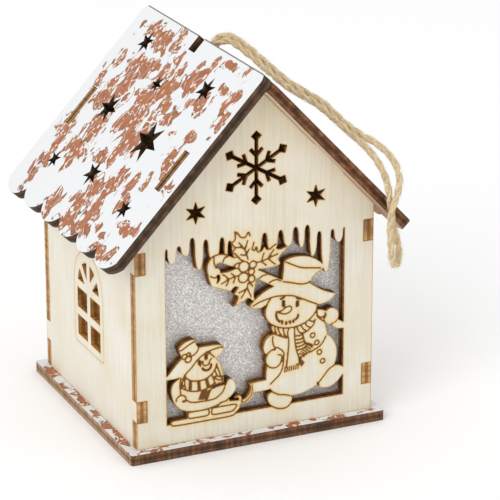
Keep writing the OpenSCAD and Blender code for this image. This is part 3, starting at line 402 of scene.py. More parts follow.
def engraved_panel(name, node, axis, outer, inner, strokes):
    """A closed copy of a cut panel whose outer face carries two measures for its material: how
    far each place is from the nearest cut, and how far from the nearest engraved line."""
    sample_gap, line_gap, grid_gap, least_gap, farthest = 0.12, 0.3, 1.7, 0.32, 9.0
    across = 1 - axis
    corners, ids = {}, []
    for v in node.data.vertices:
        key = tuple(round(c / MM, 3) for c in v.co)
        ids.append(corners.setdefault(key, len(corners)))
    place = np.array(list(corners))
    sides = {}
    for polygon in node.data.polygons:
        ring = [ids[i] for i in polygon.vertices]
        if len(set(ring)) == 3 and all(abs(place[i][axis] - outer) < 0.01 for i in ring):
            for a, b in zip(ring, ring[1:] + ring[:1]):
                key = (min(a, b), max(a, b))
                sides[key] = sides.get(key, 0) + 1
    outline = np.array([key for key, uses in sides.items() if uses == 1])
    flat = place[:, [across, 2]]
    loop_a, loop_b = flat[outline[:, 0]], flat[outline[:, 1]]

    def inside(points):
        """True for the points within the outline and outside its openings."""
        points = np.asarray(points, float)
        found = np.zeros(len(points), bool)
        for (ax, ay), (bx, by) in zip(loop_a, loop_b):
            if ay != by:
                over = (ay > points[:, 1]) != (by > points[:, 1])
                found ^= over & (points[:, 0] < (bx - ax) * (points[:, 1] - ay) / (by - ay) + ax)
        return found

    def tree_of(samples):
        """A search tree of points in the panel's plane."""
        tree = kdtree.KDTree(len(samples))
        for i, (x, y) in enumerate(samples):
            tree.insert((x, y, 0), i)
        tree.balance()
        return tree

    def samples_on(a, b, spacing=sample_gap):
        """Points along a straight stretch, both ends among them."""
        count = max(1, int(np.linalg.norm(np.subtract(b, a)) / spacing))
        return [tuple(np.add(a, np.subtract(b, a) * i / count)) for i in range(count + 1)]

    cut_tree = tree_of([p for a, b in zip(loop_a, loop_b) for p in samples_on(a, b)])
    lines, reach = [], {}
    for half, course in strokes:
        line = smooth_line(np.reshape(course, (-1, 2)), line_gap)
        lines.append(line)
        fine = [p for a, b in zip(line[:-1], line[1:]) for p in samples_on(a, b)]
        reach.setdefault(half, []).extend(fine)
    trees = [(half, tree_of(samples)) for half, samples in reach.items()]

    points, grid, cell = [], {}, 0.5

    def vertex_at(p, near):
        """The number of a vertex at a place, an older one where one is that near."""
        column, row = int(p[0] // cell), int(p[1] // cell)
        for i in (-1, 0, 1):
            for j in (-1, 0, 1):
                for k in grid.get((column + i, row + j), ()):
                    if math.hypot(points[k][0] - p[0], points[k][1] - p[1]) < near:
                        return k
        points.append((float(p[0]), float(p[1])))
        grid.setdefault((column, row), []).append(len(points) - 1)
        return len(points) - 1

    edges = {(vertex_at(a, 1e-4), vertex_at(b, 1e-4)) for a, b in zip(loop_a, loop_b)}
    rows = []
    for line in lines:
        clear = [ok and nearest(cut_tree, p) > sample_gap for ok, p in zip(inside(line), line)]
        ahead = np.gradient(line, axis=0)
        ahead /= np.maximum(np.linalg.norm(ahead, axis=1, keepdims=True), 1e-9)
        previous = None
        for i, p in enumerate(line):
            here = vertex_at(p, 0.1) if clear[i] else None
            if None not in (here, previous) and here != previous:
                edges.add((previous, here))
            previous = here
            if i % 2 == 0:
                square = np.array((-ahead[i][1], ahead[i][0]))
                rows += [p + square * off for off in (-1.0, -0.45, 0.45, 1.0)]
    for a, b in zip(loop_a, loop_b):
        square = np.array((a[1] - b[1], b[0] - a[0]))
        square /= max(np.linalg.norm(square), 1e-9)
        for p in samples_on(a, b, 0.7):
            rows += [np.array(p) + square * off for off in (-1.1, -0.45, 0.45, 1.1)]
    (left, low), (right, high) = flat.min(axis=0), flat.max(axis=0)
    for i in range(int((right - left) / grid_gap) + 1):
        for j in range(int((high - low) / grid_gap) + 1):
            rows.append(np.array((left + (i + 0.5 * (j % 2)) * grid_gap, low + j * grid_gap)))
    for p, ok in zip(rows, inside(rows)):
        if ok and nearest(cut_tree, p) > 0.3:
            vertex_at(p, least_gap)

    def on_panel(spots, triangles):
        """The triangles whose middles lie on the panel, their corners anticlockwise."""
        middles = [np.mean([spots[i] for i in t], axis=0) for t in triangles]
        for t, ok in zip(triangles, inside(middles)):
            if ok:
                (ax, ay), (bx, by), (cx, cy) = (spots[i] for i in t)
                turn = (bx - ax) * (cy - ay) - (by - ay) * (cx - ax)
                yield tuple(t) if turn > 0 else tuple(reversed(t))

    made, _, triangles, *_ = delaunay_2d_cdt(
        [Vector(p) for p in points], sorted(edges), [], 0, 1e-5
    )
    made = [tuple(p) for p in made]
    front = list(on_panel(made, triangles))
    turned = dict.fromkeys((a, b) for t in front for a, b in zip(t, t[1:] + t[:1]))
    border = [(a, b) for a, b in turned if (b, a) not in turned]
    used = sorted({i for t in front for i in t})
    number = {old: new for new, old in enumerate(used)}
    rim = sorted({i for edge in border for i in edge})
    behind = {old: k for k, old in enumerate(rim)}
    back_made, _, back_triangles, *_ = delaunay_2d_cdt(
        [Vector(made[i]) for i in rim],
        sorted((behind[a], behind[b]) for a, b in border), [], 0, 1e-6,
    )
    faces = [tuple(number[i] for i in t) for t in front]
    faces += [
        (number[b], number[a], len(used) + behind[a], len(used) + behind[b]) for a, b in border
    ]
    faces += [
        tuple(len(used) + i for i in reversed(t)) for t in on_panel(back_made, back_triangles)
    ]
    slots = np.zeros(len(faces), int)
    slots[len(front):len(front) + len(border)] = 1
    # Anticlockwise corners face -Y on a gable and +X on a side wall.
    if (outer > inner) == (axis == 1):
        faces = [tuple(reversed(face)) for face in faces]
    vertices = []
    for level, group in ((outer, used), (inner, rim)):
        for i in group:
            spot = [0, 0, made[i][1] * MM]
            spot[axis], spot[across] = level * MM, made[i][0] * MM
            vertices.append(spot)
    piece = new_piece(name, vertices, faces)
    piece.data.polygons.foreach_set("material_index", slots)
    from_cut = [nearest(cut_tree, made[i]) for i in used]
    from_stroke = [
        min((nearest(tree, made[i]) - half for half, tree in trees), default=farthest)
        for i in used
    ]
    for label, values, behind_it in (("cut", from_cut, 0.0), ("stroke", from_stroke, farthest)):
        measure = piece.data.attributes.new(label, "FLOAT", "POINT")
        measure.data.foreach_set(
            "value", [min(v, farthest) for v in values] + [behind_it] * len(rim)
        )
    return piece


def on_plate(add, place, directions):
    """A vector of how far a place lies along each of three directions, in mm."""
    return add("CombineXYZ", {
        i: add("VectorMath", {0: place, 1: [c / MM for c in direction]}, operation="DOT_PRODUCT")
        for i, direction in enumerate(directions)
    })


def basswood_face(name, along, up, outward, engraved=0.0, painted_shade_foot="#FFFFFF"):
    """Sanded basswood veneer: cream, with fine grain and small flecks, and painted shade that
    changes with height. Where the laser has cut or drawn, the wood is singed, from yellow through
    tan to brown, the more the harder it drew."""
    material, add, shader, place = new_material(name)
    plate = on_plate(add, place, (along, up, outward))
    grain, fleck, cloud = (
        add("TexNoise", {
            "Vector": add("Mapping", {"Vector": plate, "Scale": (1 / wide, 1 / long, 1 / wide)}),
            "Scale": 1.0, "Detail": detail, "Distortion": curl,
        })
        for wide, long, detail, curl in (
            (0.55, 16, 3.0, 0.25), (0.35, 2.6, 1.0, 0.0), (14, 14, 2.0, 0.0),
        )
    )
    height = add("Math", {0: add("SeparateXYZ", {0: place}, "Z"), 1: 110 * MM}, operation="DIVIDE")
    colour = add("ValToRGB", {"Fac": grain}, stops=[
        (0.25, "#D9D2C5"), (0.42, "#DFDACE"), (0.6, "#E2DED3"), (0.8, "#E6E2DA"),
    ])
    # Painted shade: a ramp by height multiplies the veneer by the painted_shade_foot colour low
    # down and by a darker cream towards the ridge, where the light from around hardly reaches.
    shades = [
        (0.14, fleck, [(0.28, "#DCCBA8"), (0.38, "#FFFFFF")]),
        (0.7, cloud, [(0.3, "#F7EFDF"), (0.7, "#FFFFFF")]),
        (1.0, height, [(0.5, painted_shade_foot), (0.93, "#F9F4EB")]),
    ]
    if engraved:
        cut, stroke = (add("Attribute", {}, "Fac", attribute_name=key) for key in ("cut", "stroke"))
        wobble = add("TexNoise", {"Vector": plate, "Scale": 1 / 1.3})
        waver = add("Math", {0: wobble, 1: 0.7, 2: -0.35}, operation="MULTIPLY_ADD")
        # Small drawn parts are heated from all sides, so the bloom is strong only near strokes.
        heat = add("MapRange", {
            "Value": stroke, "From Min": 2.5, "From Max": 8.0, "To Min": 1.0, "To Max": 0.3,
        })
        for share, beside, unevenness, stops in (
            (heat, cut, 1.0,
             [(0.0, "#F2CB8C"), (0.08, "#FCE6BA"), (0.18, "#FFF8E6"), (0.4, "#FFFFFF")]),
            (engraved, stroke, 0.5,
             [(0.0, "#FBD99C"), (0.08, "#FFEAC2"), (0.2, "#FFF8E6"), (0.9, "#FFFFFF")]),
        ):
            away = add("Math", {0: waver, 1: unevenness, 2: beside}, operation="MULTIPLY_ADD")
            shades.append((share, add("Math", {0: away, 1: 2.0}, operation="DIVIDE"), stops))
    for share, pattern, stops in shades:
        shade = add("ValToRGB", {"Fac": pattern}, stops=stops)
        colour = add(
            "Mix", {"Factor": share, "A": colour, "B": shade},
            data_type="RGBA", blend_type="MULTIPLY",
        )
    relief = add("Bump", {"Height": grain, "Strength": 0.25, "Distance": 0.05 * MM})
    if engraved:
        fine = add("TexNoise", {"Vector": plate, "Scale": 1 / 0.5, "Detail": 1.0})
        ragged = add("Math", {0: fine, 1: 0.22, 2: stroke}, operation="MULTIPLY_ADD")
        rim, burn = (
            add(
                "MapRange",
                {"Value": beside, "From Max": reach, "To Min": strength, "To Max": 0.0},
                interpolation_type="SMOOTHSTEP",
            )
            for beside, reach, strength in ((cut, 0.32, 0.8), (ragged, 0.24, engraved))
        )
        depth = add("Math", {0: ragged, 1: 1.6, 2: 0.6}, operation="MULTIPLY_ADD")
        char = add("ValToRGB", {"Fac": depth}, stops=[
            (0.1, "#3A1C05"), (0.4, "#5E3808"), (0.7, "#875818"), (1.0, "#B98838"),
        ])
        for share, shade in ((rim, linear("#B07C38")), (burn, char)):
            colour = add("Mix", {"Factor": share, "A": colour, "B": shade}, data_type="RGBA")
        relief = add(
            "Bump",
            {"Height": burn, "Strength": 0.8 * engraved, "Distance": 0.18 * MM, "Normal": relief},
            invert=True,
        )
    set_inputs(shader, {
        "Base Color": colour, "Normal": relief, "Roughness": 0.62, "Specular IOR Level": 0.32,
    })
    return material


def burnt_edge(name, depth_along, outer, pale, mid, dark, soot="#20140C", core="#9A7C62"):
    """The edge of three ply wood that a laser has cut: glossy brown char in fine streaks that run
    through the sheet, and the middle ply, whose grain stands on end, darker than the other two."""
    material, add, shader, place = new_material(name)
    thick_mm = 3
    across_ply = [c / (thick_mm * MM) for c in depth_along]
    depth = add("VectorMath", {0: place, 1: across_ply}, operation="DOT_PRODUCT")
    # The squash along the sheet's thickness draws the noise out into streaks that cross the edge.
    squashed = add("Mapping", {"Vector": place, "Scale": [1 - 0.86 * abs(c) for c in depth_along]})
    streak = add("TexNoise", {"Vector": squashed, "Scale": 1 / (0.9 * MM), "Detail": 1.5})
    patch = add("TexNoise", {"Vector": place, "Scale": 1 / (6 * MM)})
    uneven = add("Mix", {"Factor": 0.55, "A": patch, "B": streak})
    char = add("ValToRGB", {"Fac": uneven}, stops=[(0.3, dark), (0.5, mid), (0.72, pale)])
    plies = add(
        "ValToRGB",
        {"Fac": add("Math", {0: depth, 1: outer / thick_mm}, operation="SUBTRACT")},
        stops=[(0.0, "#C9A77C"), (0.06, "#FFFFFF"), (0.30, "#FFFFFF"), (0.36, core),
               (0.64, core), (0.70, "#FFFFFF"), (0.94, "#FFFFFF"), (1.0, "#B8946A")],
    )
    sooty = add("MapRange", {"Value": patch, "From Min": 0.5, "From Max": 0.7, "To Max": 0.7})
    charred = add(
        "Mix", {"Factor": 1.0, "A": char, "B": plies}, data_type="RGBA", blend_type="MULTIPLY"
    )
    set_inputs(shader, {
        "Base Color": add(
            "Mix", {"Factor": sooty, "A": charred, "B": linear(soot)}, data_type="RGBA"
        ),
        "Roughness": 0.7, "Specular IOR Level": 0.2,
        "Normal": add("Bump", {"Height": streak, "Strength": 0.5, "Distance": 0.12 * MM}),
    })
    return material


def cut_wall(name, side, axis, outer, inner, strokes, engraved, edge_tones, painted_shade_foot="#FFFFFF"):
    """A wall with its veneer, its burnt edges, and the ends of its fingers and tabs, which get a
    paler copy of the burnt edge, golden tan with browner streaks: painted light on the outward
    ends. It takes the place of its node."""
    wall = engraved_panel(name, nodes[side + "_wall"], axis, outer, inner, strokes)
    along, outward = ((1, 0, 0), (0, 1, 0)) if axis == 1 else ((0, 1, 0), (1, 0, 0))
    low, far_x, far_y = min(outer, inner), 35.7 * MM, 34.9 * MM
    dress(
        wall,
        basswood_face("sanded basswood, " + side, along, (0, 0, 1), outward, engraved, painted_shade_foot),
        burnt_edge("laser cut ply, " + side, outward, low, *edge_tones),
        # Painted light: the finger and tab ends get a paler copy of the burnt edge.
        burnt_edge("finger ends with painted light, " + side, outward, low,
                   "#D6B27E", "#BC9563", "#906844", "#64462C", "#CDB08C"),
    )
    for polygon in wall.data.polygons:
        side_end = abs(polygon.normal.x) > 0.9 and abs(polygon.center.x) > far_x
        front_end = abs(polygon.normal.y) > 0.9 and abs(polygon.center.y) > far_y
        if polygon.material_index == 1 and (side_end or front_end):
            polygon.material_index = 2
    stand_for(wall, side + "_wall")


front_strokes = []
for half, *courses in snowman_lines + sled_lines + holly_lines:
    for course in courses:
        u, v = np.reshape(course, (-1, 2)).T / 1000
        points = np.column_stack([(u - 0.5) * scene_w, scene_low + v * scene_h])
        front_strokes.append((half, points))
# The front veneer also gets a faint grey painted shade low down, besides the painted shade at the
# top.
cut_wall("engraved_front", "front", 1, -35.0, -32.0, front_strokes, 1.0,
         ("#B98A54", "#8A6234", "#553518"), "#FBFBF8")

# Side walls. Sheets of the same plywood, held between the gables by their fingers. Each has an
# arched window: panes and fan cut through, the frame round them drawn with the weaker beam.
window_strokes = [(plain, course) for course in (
    (-9.5, 19.5, 9.5, 19.5), (-11, 21, -11, 29, -11, 38), (11, 21, 11, 29, 11, 38),
    arc(-9.5, 21, 1.5, 1.5, 6, 180, 270), arc(9.5, 21, 1.5, 1.5, 6, 270),
    arc(0, 38, 11, 11, 40, 0, 180),
)]
for side, outer, inner in (("left", -35.75, -32.75), ("right", 35.75, 32.75)):
    cut_wall("engraved_" + side, side, 0, outer, inner, window_strokes, 0.32,
             ("#DDB074", "#BC8846", "#764C22", "#46290F", "#D6BC98"))

# Back wall. The plain gable that closes the house, left undrawn because it hangs to the rear; its
# face is the same singed veneer and its edge the same three burnt plies.
cut_wall("plain_back", "back", 1, 35.0, 32.0, [], 0.3, ("#C89A62", "#A07A48", "#6A4826"))

# Roof. Two printed plywood panels meet at the ridge, the left one lapped over the right. White
# paint is printed on a terracotta ground so that it looks like snow that has slipped in places,
# and the laser has cut the stars, the slots for the gables' tabs and the scallops of the eaves.
pitch = math.radians(46.8)
ridge_z = 107.02


def printed_snow(name, across, down, outward, start, bare, seed=0.0, stretch=(1, 1)):
    """White paint screen printed over terracotta paint, both matt: sharp flaked borders with a thin
    brown outline, and small white specks on the bare ground."""
    material, add, shader, place = new_material(name)
    flat = add(
        "VectorMath",
        {0: on_plate(add, place, (across, down, outward)), 1: (1, 1, 0), 2: (0, -start, 0)},
        operation="MULTIPLY_ADD",
    )
    shove = 5.0
    warp = add("TexNoise", {"Vector": flat, "Scale": 1 / 5}, "Color")
    bent = add("VectorMath", {0: warp, 1: (shove, shove, 0), 2: flat}, operation="MULTIPLY_ADD")
    patch = None
    for h, s, half_h, half_s in bare:
        middle = (-(h + shove / 2) / half_h, -(s + shove / 2) / half_s, 0)
        offset = add(
            "VectorMath", {0: bent, 1: (1 / half_h, 1 / half_s, 0), 2: middle},
            operation="MULTIPLY_ADD",
        )
        away = add("VectorMath", {0: offset}, operation="LENGTH")
        if patch:
            away = add("Math", {0: away, 1: patch, 2: 0.25}, operation="SMOOTH_MIN")
        patch = away
    drifts, chips, veins, cracks = (
        add("TexNoise", {
            "Vector": add("Mapping", {
                "Vector": flat, "Location": (seed + wide, seed * 1.7, 0), "Rotation": (0, 0, turn),
                "Scale": (1 / wide / stretch[0], 1 / long / stretch[1], 1),
            }),
            "Scale": 1.0, "Detail": detail, "Distortion": curl,
        })
        for wide, long, detail, curl, turn in (
            (4.6, 8.4, 1.0, 0.3, 0.15), (2.4, 3.4, 0.5, 0.2, 0.2), (5.0, 8.0, 0.5, 0.5, 0.1),
            (3.2, 5.0, 0.5, 0.4, 0.3),
        )
    )
    level = -3.26
    for pattern, weight in ((patch, 0.9), (drifts, 4.2), (chips, 2.4)):
        level = add("Math", {0: pattern, 1: weight, 2: level}, operation="MULTIPLY_ADD")
    # Thin threads of the ground run on into the snow, and thin threads of snow into the ground.
    for pattern, steepness, nearness, base, limit in (
        (veins, 15.0, 0.66, 0.0, "MINIMUM"), (cracks, -30.0, 0.5, 0.97, "MAXIMUM"),
    ):
        side = add("Math", {0: pattern, 1: 0.5}, operation="SUBTRACT")
        side = add("Math", {0: side}, operation="ABSOLUTE")
        thread = base
        for part, weight in ((patch, nearness), (side, steepness)):
            thread = add("Math", {0: part, 1: weight, 2: thread}, operation="MULTIPLY_ADD")
        level = add("Math", {0: level, 1: thread}, operation=limit)
    spots = add("TexVoronoi", {
        "Vector": add("Mapping", {"Vector": flat, "Scale": (1 / 1.35, 1 / 1.7, 1)}),
        "Scale": 1.0,
    }, "Color")
    spot_size = add(
        "Math", {0: add("SeparateXYZ", {0: spots}, "X"), 1: 0.62, 2: -0.12},
        operation="MULTIPLY_ADD",
    )
    specks = add("Math", {0: spots.node.outputs["Distance"], 1: spot_size}, operation="LESS_THAN")
    ground_place = add("Mapping", {"Vector": flat, "Scale": (1 / 1.2, 1 / 3.5, 1)})
    ground, wood_grain = (
        add("TexNoise", {"Vector": ground_place, "Scale": scale}) for scale in (1.0, 2.4)
    )
    # The cut along the ridge has browned the first third of a millimetre of the print.
    white, outline, thin_paint, ridge = (
        add(
            "MapRange",
            {"Value": value, "From Min": first, "From Max": last, "To Min": low, "To Max": high},
            interpolation_type=slope,
        )
        for value, first, last, low, high, slope in (
            (level, 0.97, 1.05, 0.0, 1.0, "LINEAR"), (level, 0.78, 0.95, 0.0, 1.0, "SMOOTHSTEP"),
            (level, 1.0, 1.35, 0.35, 0.0, "LINEAR"),
            (add("SeparateXYZ", {0: flat}, "Y"),
             0.3, 0.45, 0.9 if start else 0.0, 0.0, "LINEAR"),
        )
    )
    colour = add(
        "ValToRGB", {"Fac": ground}, stops=[(0.3, "#93502A"), (0.5, "#A46036"), (0.7, "#B4744A")]
    )
    snow = add(
        "Mix", {"Factor": thin_paint, "A": linear("#DEE0E1"), "B": linear("#DCCDC3")},
        data_type="RGBA",
    )
    for share, shade in (
        (outline, linear("#77492D")), (specks, linear("#DCCFC0")), (white, snow),
        (ridge, linear("#5A4234")),
    ):
        colour = add("Mix", {"Factor": share, "A": colour, "B": shade}, data_type="RGBA")
    grained = add("Bump", {"Height": wood_grain, "Strength": 0.2, "Distance": 0.04 * MM})
    raised = add(
        "Bump", {"Height": white, "Strength": 0.4, "Distance": 0.04 * MM, "Normal": grained}
    )
    set_inputs(shader, {"Base Color": colour, "Normal": raised, "Roughness": 0.5})
    return material


def finish_plate(node, outward, printed, edge, underside):
    """Gives a flat panel its print on the outer side, its edge material and its plain underside."""
    dress(node, printed, edge, underside)
    outward = Vector(outward)
    for polygon in node.data.polygons:
        facing = polygon.normal.dot(outward)
        polygon.material_index = 0 if facing > 0.9 else 2 if facing < -0.9 else 1


# Patches of bare ground: their middles along and down the panel, and their half sizes, in mm.
left_bare = [
    (-20, 6, 10, 2.8), (-12, 3, 3, 2.2), (-17, 9, 3, 2.4), (-20, 16, 8, 2.4), (-10, 15, 7, 1.8),
    (-20, 23, 3, 6), (-25, 29, 4.6, 4.6), (-14, 26, 2, 2.6), (-18, 38, 4, 5), (-19, 46, 5.6, 3),
    (-34, 22, 2.2, 5), (-33, 42, 4, 3), (-30, 50, 2.2, 8), (-29.5, 60, 2.4, 3.6),
    (-10, 61.5, 4.2, 2.6), (-4, 9, 2.6, 2.4), (-6, 13, 2.6, 1.6), (3, 17, 8, 5), (-5, 23, 4.6, 5),
    (9, 9, 1.8, 4), (11, 15, 3, 5), (8, 22, 6, 3), (-2, 30, 6, 4.4), (3, 35, 6, 4.6),
    (-4, 43, 4.4, 1.8), (2, 42, 2.4, 1.8), (5, 50, 3.6, 4), (12.5, 48, 3, 5), (12, 55, 4.4, 3.4),
    (3, 57, 4, 2.4), (4, 63, 6, 2.4), (15, 61, 5, 2.6), (15.5, 7, 2, 3.6), (22, 16, 2.2, 2.8),
    (27, 9, 3, 1.6), (32, 3, 2, 2), (37, 17, 2.4, 3), (28, 34, 2.6, 3.6), (26, 40, 1.6, 2.4),
    (19.5, 44, 1.8, 3), (32, 55, 4, 1.4), (37, 54, 2, 2), (30, 64, 6, 1.6), (24, 3, 4, 1.4),
    (35, 9, 1.6, 3), (30, 25, 2.2, 1.6), (34, 29, 1.6, 1.2), (20, 27, 2, 1.4), (37, 43, 1.4, 3),
    (23, 50, 1.6, 2), (25, 60, 3, 1.6), (36, 62, 1.6, 1.6),
]
right_bare = [(3 - h, 66 - s, half_h, half_s) for h, s, half_h, half_s in left_bare]
for side, sign, bare, seed, edge_tones in (
    ("left", -1, left_bare, 0.0, ("#765E4A", "#503E2F", "#33271C", "#241912", "#CDBBA8")),
    ("right", 1, right_bare, 7.0, ("#A0714C", "#6E4A33", "#402A1E", "#2A1A14", "#C4A88E")),
):
    down = (sign * math.cos(pitch), 0, -math.sin(pitch))
    out = (sign * math.sin(pitch), 0, math.cos(pitch))
    finish_plate(
        nodes["roof_" + side], out,
        printed_snow("snow print, " + side, (0, -1, 0), down, out, -ridge_z * math.sin(pitch),
                     bare, seed),
        burnt_edge("laser cut ply, " + side + " roof", out, ridge_z * math.cos(pitch) - 3,
                   *edge_tones),
        # Underside: the veneer with painted shade, reddish tan towards the eaves and paler towards
        # the ridge.
        basswood_face("basswood with painted shade, " + side, (0, 1, 0), down, out, painted_shade_foot="#C9A084"),
    )

# Base. The printed plywood plate that carries the walls in its slots; a round hole takes the
# light from below. Its left side gets a paler copy of the burnt edge: painted light, where the lamp
# falls on that side.
base_bare = [
    (-33, 36, 4.5, 1.44), (-24.5, 34.8, 4, 0.81), (-17.5, 36.6, 1.98, 1.8),
    (-9.5, 35.6, 2.7, 0.63), (-4, 36.4, 2.16, 1.53), (4.5, 35.2, 3.1, 0.63),
    (10.5, 36.6, 2.34, 1.44), (17.5, 35.6, 2.34, 0.72), (24, 36.5, 3.1, 1.35),
    (33, 36.2, 4, 1.08), (-37, 28, 1.53, 2.34), (-36.6, 21, 0.81, 2.34), (-37.4, 14, 1.53, 2.16),
    (-36.8, 6, 1.08, 3.1), (-37.4, -2, 1.53, 2.16), (-36.6, -9, 1.08, 2.7),
    (-37.4, -17, 1.53, 2.34), (-37, -28, 1.62, 4.5), (37, 22, 1.35, 5.4), (37, 2, 1.26, 6.3),
    (37, -20, 1.35, 5.4), (-18, -36.8, 5.4, 1.08), (4, -36.6, 6.3, 1.26), (26, -36.8, 4.5, 1.08),
]
upward = (0, 0, 1)
base_plate = nodes["base_plate"]
finish_plate(
    base_plate, upward,
    printed_snow("snow print, base", (1, 0, 0), (0, -1, 0), upward, 0.0, base_bare,
                 3.0, (1.4, 0.9)),
    burnt_edge("laser cut ply, base", upward, 0.0,
               "#957254", "#6C4E38", "#463224", "#2A1C14", "#D2BEAA"),
    basswood_face("sanded basswood, base underside", (1, 0, 0), (0, 1, 0), upward),
)
# Painted light: the left edge faces take a paler copy of the burnt edge.
base_plate.data.materials.append(
    burnt_edge("laser cut ply with painted light, base left", upward, 0.0,
               "#D2B494", "#A78A6C", "#7A6048", "#4A3626", "#D8C8B6")
)
for polygon in base_plate.data.polygons:
    if polygon.normal.x < -0.9 and polygon.center.x < -38 * MM:
        polygon.material_index = 3

# Glitter sheet. A thin card covered with silver glitter, cut straight and glued behind the scene.
# The grains are drawn a little coarser than the real ones, which are too fine to show.
glitter, add, shader, place = new_material("silver glitter card")
grain = add("TexVoronoi", {"Vector": place, "Scale": 1 / (0.29 * MM)}, "Color")
# Partly painted glints: each grain has its own brightness, grey to near white, which stands for the
# light it catches as well as its tone.
grain_tone_and_glints = add(
    "ValToRGB", {"Fac": add("SeparateXYZ", {0: grain}, "X")},
    stops=[(0.0, "#A5A19F"), (0.35, "#BFBBB7"), (0.7, "#D2CECA"), (0.95, "#EFECE9")],
)
tilt = add("Bump", {
    "Height": grain.node.outputs["Distance"], "Strength": 0.6, "Distance": 0.12 * MM,
})
set_inputs(shader, {"Base Color": grain_tone_and_glints, "Normal": tilt, "Metallic": 0.5, "Roughness": 0.42})
dress(nodes["glitter_sheet"], glitter)


# Light unit's mouldings. Shell, floor and battery cover are white plastic, the knob dark plastic;
# the floor is pressed into the shell, and the shell sits in the hole of the base.
def moulded_plastic(name, deep, light):
    """Moulded plastic: one colour, faintly clouded where the melt flowed, with a fine matt skin."""
    material, add, shader, place = new_material(name)
    flow = add("TexNoise", {"Vector": place, "Scale": 1 / (8 * MM), "Distortion": 1.2})
    cloud = add("ValToRGB", {"Fac": flow}, stops=[(0.3, deep), (0.7, light)])
    skin = add("TexNoise", {"Vector": place, "Scale": 1 / (0.35 * MM)})
    relief = add("Bump", {"Height": skin, "Strength": 0.3, "Distance": 0.04 * MM})
    set_inputs(shader, {"Base Color": cloud, "Normal": relief, "Roughness": 0.42})
    return material


for name, deep, light in (
    ("light_case", "#DEDDD8", "#E3E2DE"), ("case_floor", "#E0DFDB", "#E5E4E0"),
    ("battery_cover", "#DBDAD4", "#E0DFDA"), ("switch_knob", "#212123", "#272729"),
):
    dress(nodes[name], moulded_plastic("moulded plastic, " + name, deep, light))


# Light unit's metal. Stamped and turned from plated steel: the cell's can, its two contacts, the
# switch's case, the LED's legs and the screw. The plating is bright, with fine drawing lines.
def plated_steel(name, dull, bright, rough):
    """Plated steel: grey metal with fine drawing lines and cloudy patches of duller plating."""
    material, add, shader, place = new_material(name)
    drawn = add("Mapping", {
        "Vector": place, "Scale": (1 / (6 * MM), 1 / (0.12 * MM), 1 / (0.12 * MM)),
    })
    lines = add("TexNoise", {"Vector": drawn, "Scale": 1.0})
    cloud = add("TexNoise", {"Vector": place, "Scale": 1 / (3 * MM)})
    tone = add("ValToRGB", {"Fac": cloud}, stops=[(0.35, dull), (0.65, bright)])
    relief = add("Bump", {"Height": lines, "Strength": 0.25, "Distance": 0.02 * MM})
    set_inputs(shader, {"Base Color": tone, "Normal": relief, "Metallic": 1.0, "Roughness": rough})
    return material


for name, dull, bright, rough in (
    ("coin_cell", "#A9A9A8", "#C9C9C8", 0.28), ("contact_positive", "#A8A59E", "#C6C4BE", 0.3),
    ("contact_negative", "#A8A59E", "#C6C4BE", 0.3), ("switch_body", "#9D9D9C", "#B9B9B8", 0.36),
    ("led_leads", "#A3A3A1", "#C4C4C2", 0.3), ("cover_screw", "#8E8E8D", "#B5B5B4", 0.32),
):
    dress(nodes[name], plated_steel("plated steel, " + name, dull, bright, rough))

# Circuit board. Glass laminate under green lacquer, through which the copper tracks show as paler
# lines; it is held on the two posts of the floor.
board, add, shader, place = new_material("lacquered circuit board")
tracks = add("TexWave", {
    "Vector": place, "Scale": 1 / (7 * MM), "Distortion": 6.0, "Detail": 0.5,
}, "Fac")
lacquer = add("ValToRGB", {"Fac": tracks}, stops=[
    (0.0, "#1C4A2C"), (0.55, "#20532F"), (0.6, "#37774A"), (0.8, "#3B7D4E"),
])
set_inputs(shader, {"Base Color": lacquer, "Roughness": 0.35, "Coat Weight": 0.3})
dress(nodes["circuit_board"], board)

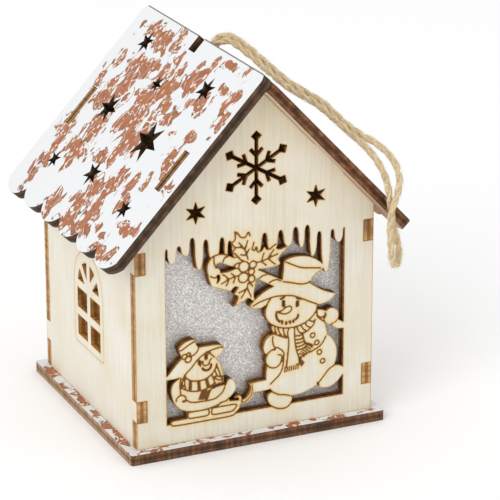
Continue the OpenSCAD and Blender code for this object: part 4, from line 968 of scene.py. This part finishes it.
# LED. Cast from clear resin with a yellow phosphor round the chip, so that the middle looks yellow
# and the dome glassy; soldered into the middle of the board.
resin, add, shader, place = new_material("cast resin")
chip_z, lens_r = 14.2 * MM, 4.5 * MM
from_chip = add("VectorMath", {0: place, 1: (0, 0, chip_z)}, operation="DISTANCE")
phosphor = add(
    "ValToRGB", {"Fac": add("Math", {0: from_chip, 1: lens_r}, operation="DIVIDE")},
    stops=[(0.3, "#E9C35A"), (0.7, "#EFE0AE"), (0.95, "#F4F0DC")],
)
set_inputs(shader, {
    "Base Color": phosphor, "Roughness": 0.12, "Transmission Weight": 0.3, "IOR": 1.5,
    "Coat Weight": 0.4,
})
dress(nodes["led"], resin)

# Floor and light. A white sweep, a white surround and large soft lamps, as in a shop photograph.
# The sweep is open under the base plate and isn't seen from its back, so that the light unit can
# be looked at from below.
floor_half, opening_half, floor_z = (4, 4), (38 * MM, 37.2 * MM), -0.05 * MM
floor_corners = [
    (x * half_x, y * half_y, floor_z)
    for half_x, half_y in (floor_half, opening_half)
    for x, y in ((-1, -1), (1, -1), (1, 1), (-1, 1))
]
floor = new_piece(
    "studio_floor", floor_corners, [(i, (i + 1) % 4, (i + 1) % 4 + 4, i + 4) for i in range(4)]
)
sweep, add, shader, place = new_material("white paper sweep")
set_inputs(shader, {"Base Color": linear("#FCFCFC"), "Roughness": 0.9})
back, seen = add("NewGeometry", {}, "Backfacing"), add("LightPath", {}, "Is Camera Ray")
one_sided = add("MixShader", {
    0: add("Math", {0: back, 1: seen}, operation="MULTIPLY"),
    1: shader.outputs["BSDF"], 2: add("BsdfTransparent", {}),
})
set_inputs(sweep.node_tree.nodes["Material Output"], {"Surface": one_sided})
dress(floor, sweep)

world = bpy.data.worlds.new("white surround")
world.use_nodes = True
set_inputs(world.node_tree.nodes["Background"], {"Color": (1, 1, 1, 1), "Strength": 0.92})
bpy.context.scene.world = world
for name, spot, size, power in (
    ("key", (-1.0, -0.7, 0.85), 0.8, 7.0), ("fill", (0.9, -0.9, 0.6), 1.0, 0.5),
):
    lamp = bpy.data.objects.new(name, bpy.data.lights.new(name, "AREA"))
    lamp.data.size = size
    lamp.data.energy = power
    lamp.location = spot
    lamp.rotation_euler = (house_middle - lamp.location).to_track_quat("-Z", "Y").to_euler()
    bpy.context.scene.collection.objects.link(lamp)
bpy.context.scene.view_settings.view_transform = "Standard"
